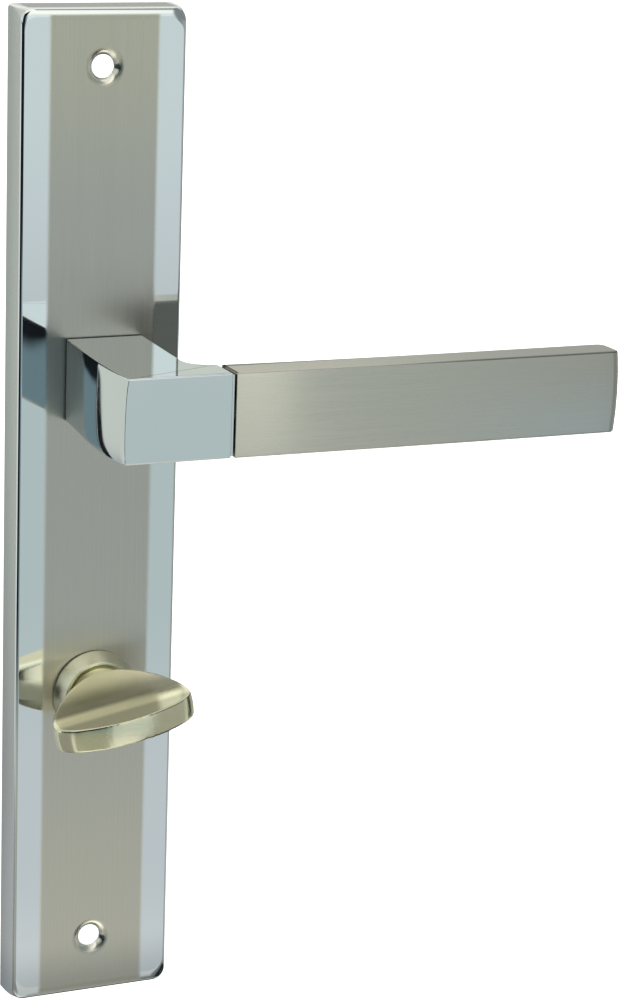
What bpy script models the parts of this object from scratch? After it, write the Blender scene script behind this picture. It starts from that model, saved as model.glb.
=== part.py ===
"""Door lever handle on a long backplate, with a bathroom thumbturn below the lever.

Frame: metres, +Z up. The origin is on the lever's axis, at the door's face. +Y points into the door, so
the handle's front faces -Y, and the lever points along +X. A depth is a distance in front of the door's
face, so a point at depth d has y = -d.
"""

import math

import bmesh
import bpy

MM = 0.001

# Clearances
GAP = 0.3 * MM                     # between touching pieces
CUT = 1.0 * MM                     # how far a cutter runs past the face it cuts
SINK = 0.4 * MM                    # how far joined shapes run into each other
SLIVER = 0.05 * MM                 # keeps joined faces from lying in one plane
MERGE = 0.01 * MM                  # distance within which points are welded
SMOOTH_ANGLE = math.radians(32)    # faces that meet at less than this are shaded as one
BEVEL_ANGLE = math.radians(40)     # edges sharper than this are rounded

# Backplate
PLATE_WIDTH = 40.6 * MM            # at the door
PLATE_TOP = 86.7 * MM              # above the lever's axis
PLATE_BOTTOM = -156.6 * MM
PLATE_DEPTH = 9.4 * MM
PLATE_FRONT_WALL = 1.8 * MM
PLATE_SIDE_WALL = 2.2 * MM
PLATE_DRAFT = 0.25 * MM            # how far the side walls lean in
PLATE_EDGE_DEPTH = 1.0 * MM        # of the rounded front edge, and how far it runs into the front
PLATE_EDGE_RUN = 1.3 * MM
PLATE_BACK_CORNER = 1.0 * MM       # corner radius at the door, where the front edge starts and at the front
PLATE_EDGE_CORNER = 3.0 * MM
PLATE_FRONT_CORNER = 3.6 * MM
PLATE_CORNER_POWER = 4             # keeps the corners small until close to the front edge
CAVITY_CORNER = 2.5 * MM
CAVITY_DEPTH = PLATE_DEPTH - PLATE_FRONT_WALL
RIB_DEPTH = 3.0 * MM
RIB_THICKNESS = 1.6 * MM
RIB_HEIGHTS = (45.0 * MM, -46.0 * MM, -112.0 * MM)

# Fixing holes: 215 mm apart
HOLE_HEIGHTS = (73.0 * MM, -142.0 * MM)
HOLE_RADIUS = 2.75 * MM
COUNTERSINK_RADIUS = 4.6 * MM
COUNTERSINK_DEPTH = 1.5 * MM

# Lever
LEVER_HALF_HEIGHT = 9.86 * MM
NECK_BACK = PLATE_DEPTH + 0.4 * MM
NECK_LEFT_AT_PLATE = -8.9 * MM
NECK_LEFT = -10.3 * MM
NECK_RIGHT_AT_PLATE = 10.3 * MM
NECK_RIGHT = 9.6 * MM
NECK_FLARE_DEPTH = 38.0 * MM       # where the flare of the neck's outer side ends
ARM_FRONT = 53.75 * MM
ARM_BACK = 44.4 * MM
ARM_FILLET = 6.4 * MM
OUTER_CORNER = 2.2 * MM
BODY_END = 15.6 * MM               # the polished arm ends here
SHOULDER_END = 16.2 * MM
SHOULDER_INSET = 0.45 * MM
GRIP_START = 16.5 * MM
GRIP_END = 113.7 * MM
GRIP_FRONT_START = 53.95 * MM
GRIP_FRONT_END = 55.1 * MM
GRIP_BACK_START = 44.6 * MM
GRIP_BACK_MIDDLE = 45.7 * MM
GRIP_BACK_END = 46.3 * MM
GRIP_BACK_BEND = 18.0 * MM         # from the grip's start to where its back straightens
GRIP_TIP_CORNER = 2.0 * MM
LEVER_EDGE = 0.45 * MM

# Grip joint, inside the arm
JOINT_DEPTH = 49.2 * MM
STUD_RADIUS = 2.7 * MM
STUD_START = 6.4 * MM
STUD_END = 28.0 * MM
DOWEL_RADIUS = 1.2 * MM
DOWEL_HEIGHT = 6.2 * MM
DOWEL_START = 10.4 * MM
DOWEL_END = 22.0 * MM

# Lever spigot and what turns on it
SPIGOT_RADIUS = 7.2 * MM
SPIGOT_FLAT = 6.1 * MM             # half the width across the spigot's flats
SPIGOT_FLAT_START = 6.55 * MM
SPIGOT_END = -0.6 * MM
BUSH_OUTER = 8.0 * MM
BUSH_FLANGE_RADIUS = 10.9 * MM
BUSH_FLANGE_BACK = 6.7 * MM
POCKET_INNER = 15.2 * MM           # spring pocket's wall, cast with the plate
POCKET_OUTER = 16.6 * MM
POCKET_BACK = 3.2 * MM
HUB_RADIUS = 9.7 * MM
HUB_BACK = 3.2 * MM
HUB_FRONT = 6.4 * MM
LUG_BACK = 5.5 * MM
LUG_REACH = 14.8 * MM
LUG_HALF_WIDTH = 2.1 * MM
STOP_ORBIT = 13.4 * MM
STOP_RADIUS = 1.5 * MM
STOP_ANGLES = (108.5, 31.5)        # degrees from +X, on either side of the lug's travel
SPRING_BACK = 3.3 * MM
SPRING_FRONT = 5.1 * MM
SPRING_THICKNESS = 0.7 * MM
SPRING_INNER = 10.2 * MM
SPRING_OUTER = 14.1 * MM
SPRING_TURNS = 2.25
COVER_BACK = 2.2 * MM
COVER_FRONT = 2.9 * MM
COVER_RADIUS = 16.8 * MM
COVER_EAR_RADIUS = 3.2 * MM
POST_HEIGHT = 20.6 * MM            # of the two screw posts, from the lever's axis
POST_RADIUS = 2.8 * MM
SCREW_RADIUS = 1.1 * MM
SCREW_HEAD_RADIUS = 2.3 * MM
SCREW_HEAD_BACK = 0.9 * MM
SCREW_CHAMFER = 0.4 * MM
SCREW_SLOT_DEPTH = 0.5 * MM
SCREW_SLOT_HALF_WIDTH = 0.3 * MM
SCREW_TIP = 6.2 * MM
WASHER_BACK = 1.5 * MM
WASHER_FRONT = 1.9 * MM
WASHER_RADIUS = 11.6 * MM
CIRCLIP_BACK = 0.6 * MM
CIRCLIP_FRONT = 1.2 * MM
CIRCLIP_GROOVE_RADIUS = 6.6 * MM
CIRCLIP_RADIUS = 8.8 * MM
CIRCLIP_EAR = 1.3 * MM             # how far the ears of both circlips stand out
CIRCLIP_OPENING = 26               # degrees from the middle of the opening to an ear
CIRCLIP_EAR_WIDTH = 16             # degrees

# Spindle and its grub screw
SPINDLE_SIZE = 8.0 * MM
SPINDLE_FRONT = 38.0 * MM
SPINDLE_BACK = -42.0 * MM
SPINDLE_EDGE = 0.4 * MM
GRUB_DEPTH = 24.0 * MM
GRUB_RADIUS = 2.7 * MM
GRUB_LENGTH = 4.6 * MM
GRUB_SOCKET_RADIUS = 1.45 * MM
GRUB_SOCKET_DEPTH = 2.2 * MM

# Thumbturn: 78 mm below the lever's axis
TURN_HEIGHT = -78.0 * MM
TURN_TILT = math.radians(10.4)     # the right end is the higher one
COLLAR_BASE_RADIUS = 10.6 * MM
COLLAR_FRONT_RADIUS = 8.95 * MM
COLLAR_FRONT = 13.85 * MM
COLLAR_CHAMFER = 0.3 * MM
COLLAR_BASE_HEIGHT = 1.0 * MM      # of the straight foot
COLLAR_RECESS = 12.9 * MM
COLLAR_RECESS_RADIUS = 8.15 * MM
COLLAR_BORE = 7.4 * MM
COLLAR_SPIGOT_RADIUS = 8.4 * MM
COLLAR_SPIGOT_END = 4.9 * MM
COLLAR_CLIP_RADIUS = 11.6 * MM
COLLAR_CLIP_BACK = 6.6 * MM
STEM_RADIUS = 7.8 * MM
STEM_BACK = 13.2 * MM
JOURNAL_RADIUS = 6.0 * MM
JOURNAL_END = 1.5 * MM
TURN_GROOVE_RADIUS = 5.4 * MM
TURN_CIRCLIP_BACK = 2.9 * MM
TURN_CIRCLIP_FRONT = 3.5 * MM
TURN_CIRCLIP_RADIUS = 7.6 * MM
TURN_WASHER_BACK = 3.9 * MM
TURN_WASHER_FRONT = 4.5 * MM
TURN_WASHER_RADIUS = 8.6 * MM
TURN_BUSH_OUTER = 7.1 * MM
TURN_BUSH_BACK = 5.0 * MM
TURN_BUSH_FRONT = 12.6 * MM
KNOB_RADIUS = 17.2 * MM
KNOB_WIDEST = 30.8 * MM            # depth of the knob's widest ring
KNOB_FRONT = 39.0 * MM
FLARE_HANDLES = ((27.0 * MM, 17.8 * MM), (22.0 * MM, 14.0 * MM))     # depth and radius
FLARE_START = 17.2 * MM            # depth where the stem starts to widen
SCOOP_START = (16.6 * MM, 8.3 * MM)      # depth and height of the scoop's back edge
SCOOP_HANDLES = ((24.0 * MM, 4.0 * MM), (30.0 * MM, 0.9 * MM))
SCOOP_END = (40.2 * MM, 3.2 * MM)
SCOOP_TOP = 20.0 * MM
TURN_SPINDLE_SIZE = 6.0 * MM
TURN_SPINDLE_FRONT = 22.0 * MM
TURN_SPINDLE_BACK = -36.0 * MM
PIN_DEPTH = 8.6 * MM
PIN_RADIUS = 0.75 * MM
PIN_HALF_LENGTH = 5.7 * MM

# Steps round a full turn
FINE_STEPS = 48
COARSE_STEPS = 32

# Colour, roughness and metallic value of each finish
FINISHES = {
    "chrome": ((0.78, 0.81, 0.82), 0.06, 1.0),
    "satin_nickel": ((0.62, 0.60, 0.55), 0.32, 1.0),
    "plated_zinc": ((0.66, 0.65, 0.62), 0.24, 1.0),
    "zinc_steel": ((0.60, 0.61, 0.62), 0.38, 1.0),
    "spring_steel": ((0.22, 0.22, 0.23), 0.42, 1.0),
    "black_steel": ((0.05, 0.05, 0.055), 0.45, 1.0),
    "nylon": ((0.82, 0.82, 0.78), 0.55, 0.0),
}

TO_FRONT = (math.pi / 2, 0.0, 0.0)      # turns local +Z to the front, -Y
TO_RIGHT = (0.0, math.pi / 2, 0.0)      # turns local +Z to the right, +X
UPRIGHT = (0.0, 0.0, 0.0)


# Scene and materials

def clear_scene():
    for obj in list(bpy.data.objects):
        bpy.data.objects.remove(obj, do_unlink=True)


def new_collection(name):
    collection = bpy.data.collections.new(name)
    bpy.context.scene.collection.children.link(collection)
    return collection


def new_material(part_name, finish):
    colour, roughness, metallic = FINISHES[finish]
    material = bpy.data.materials.new(part_name + "_" + finish)
    material.use_nodes = True
    shader = material.node_tree.nodes["Principled BSDF"]
    shader.inputs["Base Color"].default_value = (*colour, 1.0)
    shader.inputs["Roughness"].default_value = roughness
    shader.inputs["Metallic"].default_value = metallic
    return material


def new_axis(name, height):
    """An empty on a joint's axis, whose Y axis is the axis it turns about."""
    axis = bpy.data.objects.new(name, None)
    axis.location = (0.0, 0.0, height)
    PARTS.objects.link(axis)
    return axis


# Shape helpers

def new_object(name, mesh, collection):
    obj = bpy.data.objects.new(name, mesh)
    collection.objects.link(obj)
    return obj


def object_from_bmesh(name, bm, collection):
    bmesh.ops.recalc_face_normals(bm, faces=bm.faces)
    mesh = bpy.data.meshes.new(name)
    bm.to_mesh(mesh)
    bm.free()
    return new_object(name, mesh, collection)


def baked(obj):
    """The object with its modifiers made real, and its curved faces shaded smooth."""
    graph = bpy.context.evaluated_depsgraph_get()
    mesh = bpy.data.meshes.new_from_object(obj.evaluated_get(graph))
    obj.modifiers.clear()
    obj.data = mesh
    mesh.shade_smooth()
    mesh.set_sharp_from_angle(angle=SMOOTH_ANGLE)
    return obj


def block(name, collection, x, depth, z):
    """A box between two values of x, of depth and of z."""
    bm = bmesh.new()
    bmesh.ops.create_cube(bm, size=1.0)
    size = (x[1] - x[0], depth[1] - depth[0], z[1] - z[0])
    bmesh.ops.scale(bm, vec=size, verts=bm.verts)
    obj = object_from_bmesh(name, bm, collection)
    obj.location = ((x[0] + x[1]) / 2, -(depth[0] + depth[1]) / 2, (z[0] + z[1]) / 2)
    return obj


def rod(name, collection, radius, length, centre, rotation=TO_FRONT, end_radius=None,
        sides=COARSE_STEPS):
    """A cylinder or cone. end_radius is the radius of its front, right or upper end."""
    bm = bmesh.new()
    top_radius = radius if end_radius is None else end_radius
    bmesh.ops.create_cone(bm, cap_ends=True, cap_tris=False, segments=sides,
                          radius1=radius, radius2=top_radius, depth=length)
    obj = object_from_bmesh(name, bm, collection)
    obj.location = centre
    obj.rotation_euler = rotation
    return baked(obj)


def depth_rod(name, collection, radius, depth, x=0.0, z=0.0, **options):
    """A cylinder along the depth, between two depths."""
    centre = (x, -(depth[0] + depth[1]) / 2, z)
    return rod(name, collection, radius, depth[1] - depth[0], centre, **options)


def turned(name, collection, profile, steps=COARSE_STEPS, closed=False, height=0.0):
    """A turned piece. The profile's points are (radius, depth), front to back on the outer side."""
    bm = bmesh.new()
    points = [bm.verts.new((radius, 0.0, depth)) for radius, depth in profile]
    for first, second in zip(points, points[1:]):
        bm.edges.new((first, second))
    if closed:
        bm.edges.new((points[-1], points[0]))
    mesh = bpy.data.meshes.new(name)
    bm.to_mesh(mesh)
    bm.free()
    obj = new_object(name, mesh, collection)
    screw = obj.modifiers.new("Turn", "SCREW")
    screw.steps = steps
    screw.render_steps = steps
    screw.use_merge_vertices = True
    screw.merge_threshold = MERGE
    obj.rotation_euler = TO_FRONT
    obj.location = (0.0, 0.0, height)
    return baked(obj)


def ring(name, collection, inner, outer, depth, steps=COARSE_STEPS, height=0.0):
    """A flat ring between two depths."""
    profile = [(inner, depth[1]), (outer, depth[1]), (outer, depth[0]), (inner, depth[0])]
    return turned(name, collection, profile, steps, closed=True, height=height)


def arc(centre, radius, start, end, steps):
    """Points along an arc, with its angles in degrees."""
    angles = [math.radians(start + (end - start) * i / steps) for i in range(steps + 1)]
    return [(centre[0] + radius * math.cos(a), centre[1] + radius * math.sin(a)) for a in angles]


def outline_solid(name, collection, points, thickness, location, rotation):
    """A flat closed outline with a thickness, as a mesh."""
    curve = bpy.data.curves.new(name + "_outline", "CURVE")
    curve.dimensions = "2D"
    curve.fill_mode = "BOTH"
    curve.extrude = thickness / 2
    spline = curve.splines.new("POLY")
    spline.points.add(len(points) - 1)
    for point, (x, y) in zip(spline.points, points):
        point.co = (x, y, 0.0, 1.0)
    spline.use_cyclic_u = True
    guide = new_object(name + "_outline", curve, collection)
    guide.location = location
    guide.rotation_euler = rotation
    bpy.context.view_layer.update()
    graph = bpy.context.evaluated_depsgraph_get()
    mesh = bpy.data.meshes.new_from_object(guide.evaluated_get(graph))
    bm = bmesh.new()
    bm.from_mesh(mesh)
    bmesh.ops.remove_doubles(bm, verts=bm.verts, dist=MERGE)
    bmesh.ops.recalc_face_normals(bm, faces=bm.faces)
    bm.to_mesh(mesh)
    bm.free()
    obj = new_object(name, mesh, collection)
    obj.matrix_world = guide.matrix_world.copy()
    bpy.data.objects.remove(guide)
    mesh.shade_smooth()
    mesh.set_sharp_from_angle(angle=SMOOTH_ANGLE)
    return obj


def front_outline(name, collection, points, depth, height=0.0):
    """An outline of (x, z) points, between two depths."""
    middle = -(depth[0] + depth[1]) / 2
    return outline_solid(name, collection, points, depth[1] - depth[0], (0.0, middle, height), TO_FRONT)


def plan_outline(name, collection, points, half_height):
    """An outline of (x, depth) points seen from above, as tall above the axis as below it."""
    flipped = [(x, -depth) for x, depth in points]
    return outline_solid(name, collection, flipped, 2 * half_height, (0.0, 0.0, 0.0), UPRIGHT)


def boolean(obj, cutter, operation):
    modifier = obj.modifiers.new(operation.title() + " " + cutter.name, "BOOLEAN")
    modifier.operation = operation
    modifier.solver = "EXACT"
    modifier.object = cutter
    cutter.hide_render = True
    cutter.display_type = "WIRE"


def cut(obj, *cutters):
    for cutter in cutters:
        boolean(obj, cutter, "DIFFERENCE")


def join(obj, *pieces):
    for piece in pieces:
        boolean(obj, piece, "UNION")


def bevel(obj, width, segments=1):
    modifier = obj.modifiers.new("Edges", "BEVEL")
    modifier.width = width
    modifier.segments = segments
    modifier.limit_method = "ANGLE"
    modifier.angle_limit = BEVEL_ANGLE


def attach(obj, axis):
    """Makes an object turn with a joint's empty, and leaves it where it is."""
    bpy.context.view_layer.update()
    world = obj.matrix_world.copy()
    obj.parent = axis
    obj.matrix_parent_inverse = axis.matrix_world.inverted()
    obj.matrix_world = world


def finish(obj, finish_name, axis=None):
    """Gives a piece its material. A moving piece and its cutters are attached to its joint's empty."""
    obj.data.materials.clear()
    obj.data.materials.append(new_material(obj.name, finish_name))
    if axis is not None:
        attach(obj, axis)
        for modifier in obj.modifiers:
            if modifier.type == "BOOLEAN":
                attach(modifier.object, axis)


# Backplate

def rounded_rectangle(inset, radius, steps=5):
    """Points (x, z) of the plate's outline, drawn in by an inset."""
    right = PLATE_WIDTH / 2 - inset
    top = PLATE_TOP - inset
    bottom = PLATE_BOTTOM + inset
    points = arc((right - radius, top - radius), radius, 0, 90, steps)
    points += arc((-right + radius, top - radius), radius, 90, 180, steps)
    points += arc((-right + radius, bottom + radius), radius, 180, 270, steps)
    points += arc((right - radius, bottom + radius), radius, 270, 360, steps)
    return points


def plate_loft(name, collection, sections):
    """A solid through outlines of the plate, each given as (depth, inset, corner radius)."""
    bm = bmesh.new()
    rings = []
    for depth, inset, radius in sections:
        rings.append([bm.verts.new((x, -depth, z)) for x, z in rounded_rectangle(inset, radius)])
    for back, front in zip(rings, rings[1:]):
        for i in range(len(back)):
            j = (i + 1) % len(back)
            bm.faces.new((back[i], back[j], front[j], front[i]))
    bm.faces.new(rings[0])
    bm.faces.new(rings[-1])
    obj = object_from_bmesh(name, bm, collection)
    obj.data.shade_smooth()
    obj.data.set_sharp_from_angle(angle=SMOOTH_ANGLE)
    return obj


def screw_hole(name, height):
    """A countersunk hole right through the plate's front wall."""
    wall = (CAVITY_DEPTH - CUT, PLATE_DEPTH + CUT)
    slope = (COUNTERSINK_RADIUS - HOLE_RADIUS) / COUNTERSINK_DEPTH
    hole = depth_rod(name, CUTTERS, HOLE_RADIUS, wall, z=height)
    sink = depth_rod(name + "_countersink", CUTTERS, HOLE_RADIUS,
                     (PLATE_DEPTH - COUNTERSINK_DEPTH, PLATE_DEPTH + CUT), z=height,
                     end_radius=COUNTERSINK_RADIUS + CUT * slope)
    return hole, sink


def stop_post(name, angle):
    """A post in the spring pocket that the hub's lug stops against."""
    radians = math.radians(angle)
    return depth_rod(name, CUTTERS, STOP_RADIUS, (LUG_BACK, CAVITY_DEPTH + SINK),
                     x=STOP_ORBIT * math.cos(radians), z=STOP_ORBIT * math.sin(radians), sides=12)


def plate_sections():
    """The plate's outlines from the door to the front: leaning walls, then the rounded front edge."""
    edge_start = PLATE_DEPTH - PLATE_EDGE_DEPTH
    sections = []
    for share in (0.0, 0.5, 0.75, 0.9, 1.0):
        growth = (PLATE_EDGE_CORNER - PLATE_BACK_CORNER) * share ** PLATE_CORNER_POWER
        sections.append((edge_start * share, PLATE_DRAFT * share, PLATE_BACK_CORNER + growth))
    for step in (1, 2, 3):
        angle = math.radians(30 * step)
        depth = edge_start + PLATE_EDGE_DEPTH * math.sin(angle)
        run = 1 - math.cos(angle)
        radius = PLATE_EDGE_CORNER + (PLATE_FRONT_CORNER - PLATE_EDGE_CORNER) * run
        sections.append((depth, PLATE_DRAFT + PLATE_EDGE_RUN * run, radius))
    return sections


def build_backplate():
    plate = plate_loft("backplate", PARTS, plate_sections())
    cut(plate, plate_loft("plate_cavity", CUTTERS, [
        (-CUT, PLATE_SIDE_WALL, CAVITY_CORNER), (CAVITY_DEPTH, PLATE_SIDE_WALL, CAVITY_CORNER)]))
    join(plate, ring("spring_pocket_wall", CUTTERS, POCKET_INNER, POCKET_OUTER,
                     (POCKET_BACK, CAVITY_DEPTH + SINK), FINE_STEPS))
    for index, angle in enumerate(STOP_ANGLES):
        join(plate, stop_post("stop_post_%d" % (index + 1), angle))
    half_cavity = PLATE_WIDTH / 2 - PLATE_SIDE_WALL + SINK
    for index, height in enumerate(RIB_HEIGHTS):
        join(plate, block("plate_rib_%d" % (index + 1), CUTTERS, (-half_cavity, half_cavity),
                          (RIB_DEPTH, CAVITY_DEPTH + SINK), (height, height + RIB_THICKNESS)))
    for side in (1, -1):
        name = "screw_post_upper" if side > 0 else "screw_post_lower"
        join(plate, depth_rod(name, CUTTERS, POST_RADIUS, (POCKET_BACK, CAVITY_DEPTH + SINK),
                              z=side * POST_HEIGHT, sides=16))
        cut(plate, depth_rod(name + "_hole", CUTTERS, SCREW_RADIUS + GAP,
                             (POCKET_BACK - CUT, SCREW_TIP + GAP), z=side * POST_HEIGHT, sides=12))
    wall = (CAVITY_DEPTH - CUT, PLATE_DEPTH + CUT)
    cut(plate, depth_rod("lever_hole", CUTTERS, BUSH_OUTER + GAP, wall, sides=FINE_STEPS))
    cut(plate, depth_rod("turn_hole", CUTTERS, COLLAR_SPIGOT_RADIUS + GAP, wall, z=TURN_HEIGHT))
    for name, height in zip(("fixing_hole_upper", "fixing_hole_lower"), HOLE_HEIGHTS):
        cut(plate, *screw_hole(name, height))
    finish(plate, "plated_zinc")


# Lever

def double_d(radius, flat, steps=8):
    """A round outline with two flats, at the top and the bottom."""
    limit = math.degrees(math.asin(flat / radius))
    right = arc((0, 0), radius, -limit, limit, steps)
    left = arc((0, 0), radius, 180 - limit, 180 + limit, steps)
    return right + left


def build_lever_body(axis):
    outline = [(NECK_LEFT_AT_PLATE, NECK_BACK), (NECK_RIGHT_AT_PLATE, NECK_BACK)]
    outline += arc((NECK_RIGHT + ARM_FILLET, ARM_BACK - ARM_FILLET), ARM_FILLET, 180, 96, 6)
    outline += [(BODY_END, ARM_FRONT)]
    outline += arc((NECK_LEFT + OUTER_CORNER, ARM_FRONT - OUTER_CORNER), OUTER_CORNER, 90, 180, 4)
    outline += [(NECK_LEFT, NECK_FLARE_DEPTH)]
    body = plan_outline("lever_body", PARTS, outline, LEVER_HALF_HEIGHT)
    bevel(body, LEVER_EDGE)
    inset_front = ARM_FRONT - SHOULDER_INSET
    inset_back = ARM_BACK + SHOULDER_INSET
    inset_height = LEVER_HALF_HEIGHT - SHOULDER_INSET
    join(body, block("groove_shoulder", CUTTERS, (BODY_END - SINK, SHOULDER_END),
                     (inset_back, inset_front), (-inset_height, inset_height)))
    join(body, depth_rod("spigot_front", CUTTERS, SPIGOT_RADIUS, (SPIGOT_FLAT_START, NECK_BACK + SINK),
                         sides=FINE_STEPS))
    join(body, front_outline("spigot_flats", CUTTERS, double_d(SPIGOT_RADIUS - SLIVER, SPIGOT_FLAT),
                             (SPIGOT_END, SPIGOT_FLAT_START + SINK)))
    cut(body, ring("circlip_groove", CUTTERS, CIRCLIP_GROOVE_RADIUS, SPIGOT_RADIUS + CUT,
                   (CIRCLIP_BACK - GAP, CIRCLIP_FRONT + GAP), FINE_STEPS))
    half_bore = SPINDLE_SIZE / 2 + GAP
    cut(body, block("spindle_bore", CUTTERS, (-half_bore, half_bore),
                    (SPIGOT_END - CUT, SPINDLE_FRONT + GAP), (-half_bore, half_bore)))
    grub_centre = (0.0, -GRUB_DEPTH, -LEVER_HALF_HEIGHT / 2 - half_bore / 2)
    cut(body, rod("grub_bore", CUTTERS, GRUB_RADIUS + GAP, LEVER_HALF_HEIGHT - half_bore + 2 * CUT,
                  grub_centre, UPRIGHT, sides=16))
    stud_run = SHOULDER_END + CUT - STUD_START + GAP
    cut(body, rod("body_stud_bore", CUTTERS, STUD_RADIUS + GAP, stud_run,
                  (STUD_START - GAP + stud_run / 2, -JOINT_DEPTH, 0.0), TO_RIGHT, sides=16))
    dowel_run = SHOULDER_END + CUT - DOWEL_START + GAP
    cut(body, rod("body_dowel_bore", CUTTERS, DOWEL_RADIUS + GAP, dowel_run,
                  (DOWEL_START - GAP + dowel_run / 2, -JOINT_DEPTH, DOWEL_HEIGHT), TO_RIGHT, sides=12))
    finish(body, "chrome", axis)


def build_lever_grip(axis):
    outline = [(GRIP_START, GRIP_BACK_START), (GRIP_START + GRIP_BACK_BEND, GRIP_BACK_MIDDLE)]
    tip_centre = (GRIP_END - GRIP_TIP_CORNER, GRIP_BACK_END + GRIP_TIP_CORNER)
    outline += arc(tip_centre, GRIP_TIP_CORNER, 270, 360, 4)
    outline += [(GRIP_END, GRIP_FRONT_END)]
    for step in (3, 2, 1, 0):
        along = step / 4
        rise = math.sin(math.radians(90 * along))
        outline.append((GRIP_START + (GRIP_END - GRIP_START) * along,
                        GRIP_FRONT_START + (GRIP_FRONT_END - GRIP_FRONT_START) * rise))
    grip = plan_outline("lever_grip", PARTS, outline, LEVER_HALF_HEIGHT)
    bevel(grip, LEVER_EDGE)
    stud_run = STUD_END + GAP - GRIP_START + CUT
    cut(grip, rod("grip_stud_bore", CUTTERS, STUD_RADIUS + GAP, stud_run,
                  (GRIP_START - CUT + stud_run / 2, -JOINT_DEPTH, 0.0), TO_RIGHT, sides=16))
    dowel_run = DOWEL_END + GAP - GRIP_START + CUT
    cut(grip, rod("grip_dowel_bore", CUTTERS, DOWEL_RADIUS + GAP, dowel_run,
                  (GRIP_START - CUT + dowel_run / 2, -JOINT_DEPTH, DOWEL_HEIGHT), TO_RIGHT, sides=12))
    finish(grip, "satin_nickel", axis)


def build_grip_joint(axis):
    stud = rod("grip_stud", PARTS, STUD_RADIUS, STUD_END - STUD_START,
               ((STUD_START + STUD_END) / 2, -JOINT_DEPTH, 0.0), TO_RIGHT, sides=16)
    finish(stud, "zinc_steel", axis)
    dowel = rod("grip_dowel", PARTS, DOWEL_RADIUS, DOWEL_END - DOWEL_START,
                ((DOWEL_START + DOWEL_END) / 2, -JOINT_DEPTH, DOWEL_HEIGHT), TO_RIGHT, sides=12)
    finish(dowel, "zinc_steel", axis)


def build_spindle(axis):
    half = SPINDLE_SIZE / 2
    spindle = block("spindle", PARTS, (-half, half), (SPINDLE_BACK, SPINDLE_FRONT), (-half, half))
    bevel(spindle, SPINDLE_EDGE)
    finish(spindle, "zinc_steel", axis)
    top = -half - GAP
    grub = rod("spindle_grub_screw", PARTS, GRUB_RADIUS, GRUB_LENGTH,
               (0.0, -GRUB_DEPTH, top - GRUB_LENGTH / 2), UPRIGHT, sides=16)
    cut(grub, rod("grub_socket", CUTTERS, GRUB_SOCKET_RADIUS, 2 * GRUB_SOCKET_DEPTH,
                  (0.0, -GRUB_DEPTH, top - GRUB_LENGTH), UPRIGHT, sides=6))
    finish(grub, "black_steel", axis)


# Lever bearing and return spring

def build_lever_bush():
    profile = [(SPIGOT_RADIUS + GAP, PLATE_DEPTH - GAP), (BUSH_OUTER, PLATE_DEPTH - GAP),
               (BUSH_OUTER, CAVITY_DEPTH - GAP), (BUSH_FLANGE_RADIUS, CAVITY_DEPTH - GAP),
               (BUSH_FLANGE_RADIUS, BUSH_FLANGE_BACK), (SPIGOT_RADIUS + GAP, BUSH_FLANGE_BACK)]
    bush = turned("lever_bush", PARTS, profile, FINE_STEPS, closed=True)
    finish(bush, "nylon")


def build_drive_hub(axis):
    hub = depth_rod("drive_hub", PARTS, HUB_RADIUS, (HUB_BACK, HUB_FRONT), sides=FINE_STEPS)
    join(hub, block("hub_lug", CUTTERS, (-LUG_HALF_WIDTH, LUG_HALF_WIDTH),
                    (LUG_BACK + SINK, HUB_FRONT - SLIVER), (HUB_RADIUS - 2 * CUT, LUG_REACH)))
    cut(hub, front_outline("hub_bore", CUTTERS, double_d(SPIGOT_RADIUS + GAP, SPIGOT_FLAT + GAP),
                           (HUB_BACK - CUT, HUB_FRONT + CUT)))
    finish(hub, "zinc_steel", axis)


def build_return_spring():
    """A flat strip wound in a spiral, between the hub and the pocket's wall."""
    steps = round(SPRING_TURNS * 24)
    outer = []
    inner = []
    for step in range(steps + 1):
        along = step / steps
        angle = 2 * math.pi * SPRING_TURNS * along
        inner_radius = SPRING_INNER + (SPRING_OUTER - SPRING_INNER) * along
        outer_radius = inner_radius + SPRING_THICKNESS
        outer.append((outer_radius * math.cos(angle), outer_radius * math.sin(angle)))
        inner.append((inner_radius * math.cos(angle), inner_radius * math.sin(angle)))
    spring = front_outline("return_spring", PARTS, outer + inner[::-1], (SPRING_BACK, SPRING_FRONT))
    finish(spring, "spring_steel")


def build_spring_cover():
    cover = depth_rod("spring_cover", PARTS, COVER_RADIUS, (COVER_BACK, COVER_FRONT), sides=FINE_STEPS)
    sheet = (COVER_BACK, COVER_FRONT)
    through = (COVER_BACK - CUT, COVER_FRONT + CUT)
    join(cover, block("cover_strap", CUTTERS, (-COVER_EAR_RADIUS, COVER_EAR_RADIUS), sheet,
                      (-POST_HEIGHT, POST_HEIGHT)))
    for side in (1, -1):
        name = "cover_ear_upper" if side > 0 else "cover_ear_lower"
        join(cover, depth_rod(name, CUTTERS, COVER_EAR_RADIUS, sheet, z=side * POST_HEIGHT, sides=24))
        cut(cover, depth_rod(name + "_hole", CUTTERS, SCREW_RADIUS + GAP, through,
                             z=side * POST_HEIGHT, sides=12))
    cut(cover, depth_rod("cover_bore", CUTTERS, SPIGOT_RADIUS + GAP, through, sides=FINE_STEPS))
    finish(cover, "zinc_steel")


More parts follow.
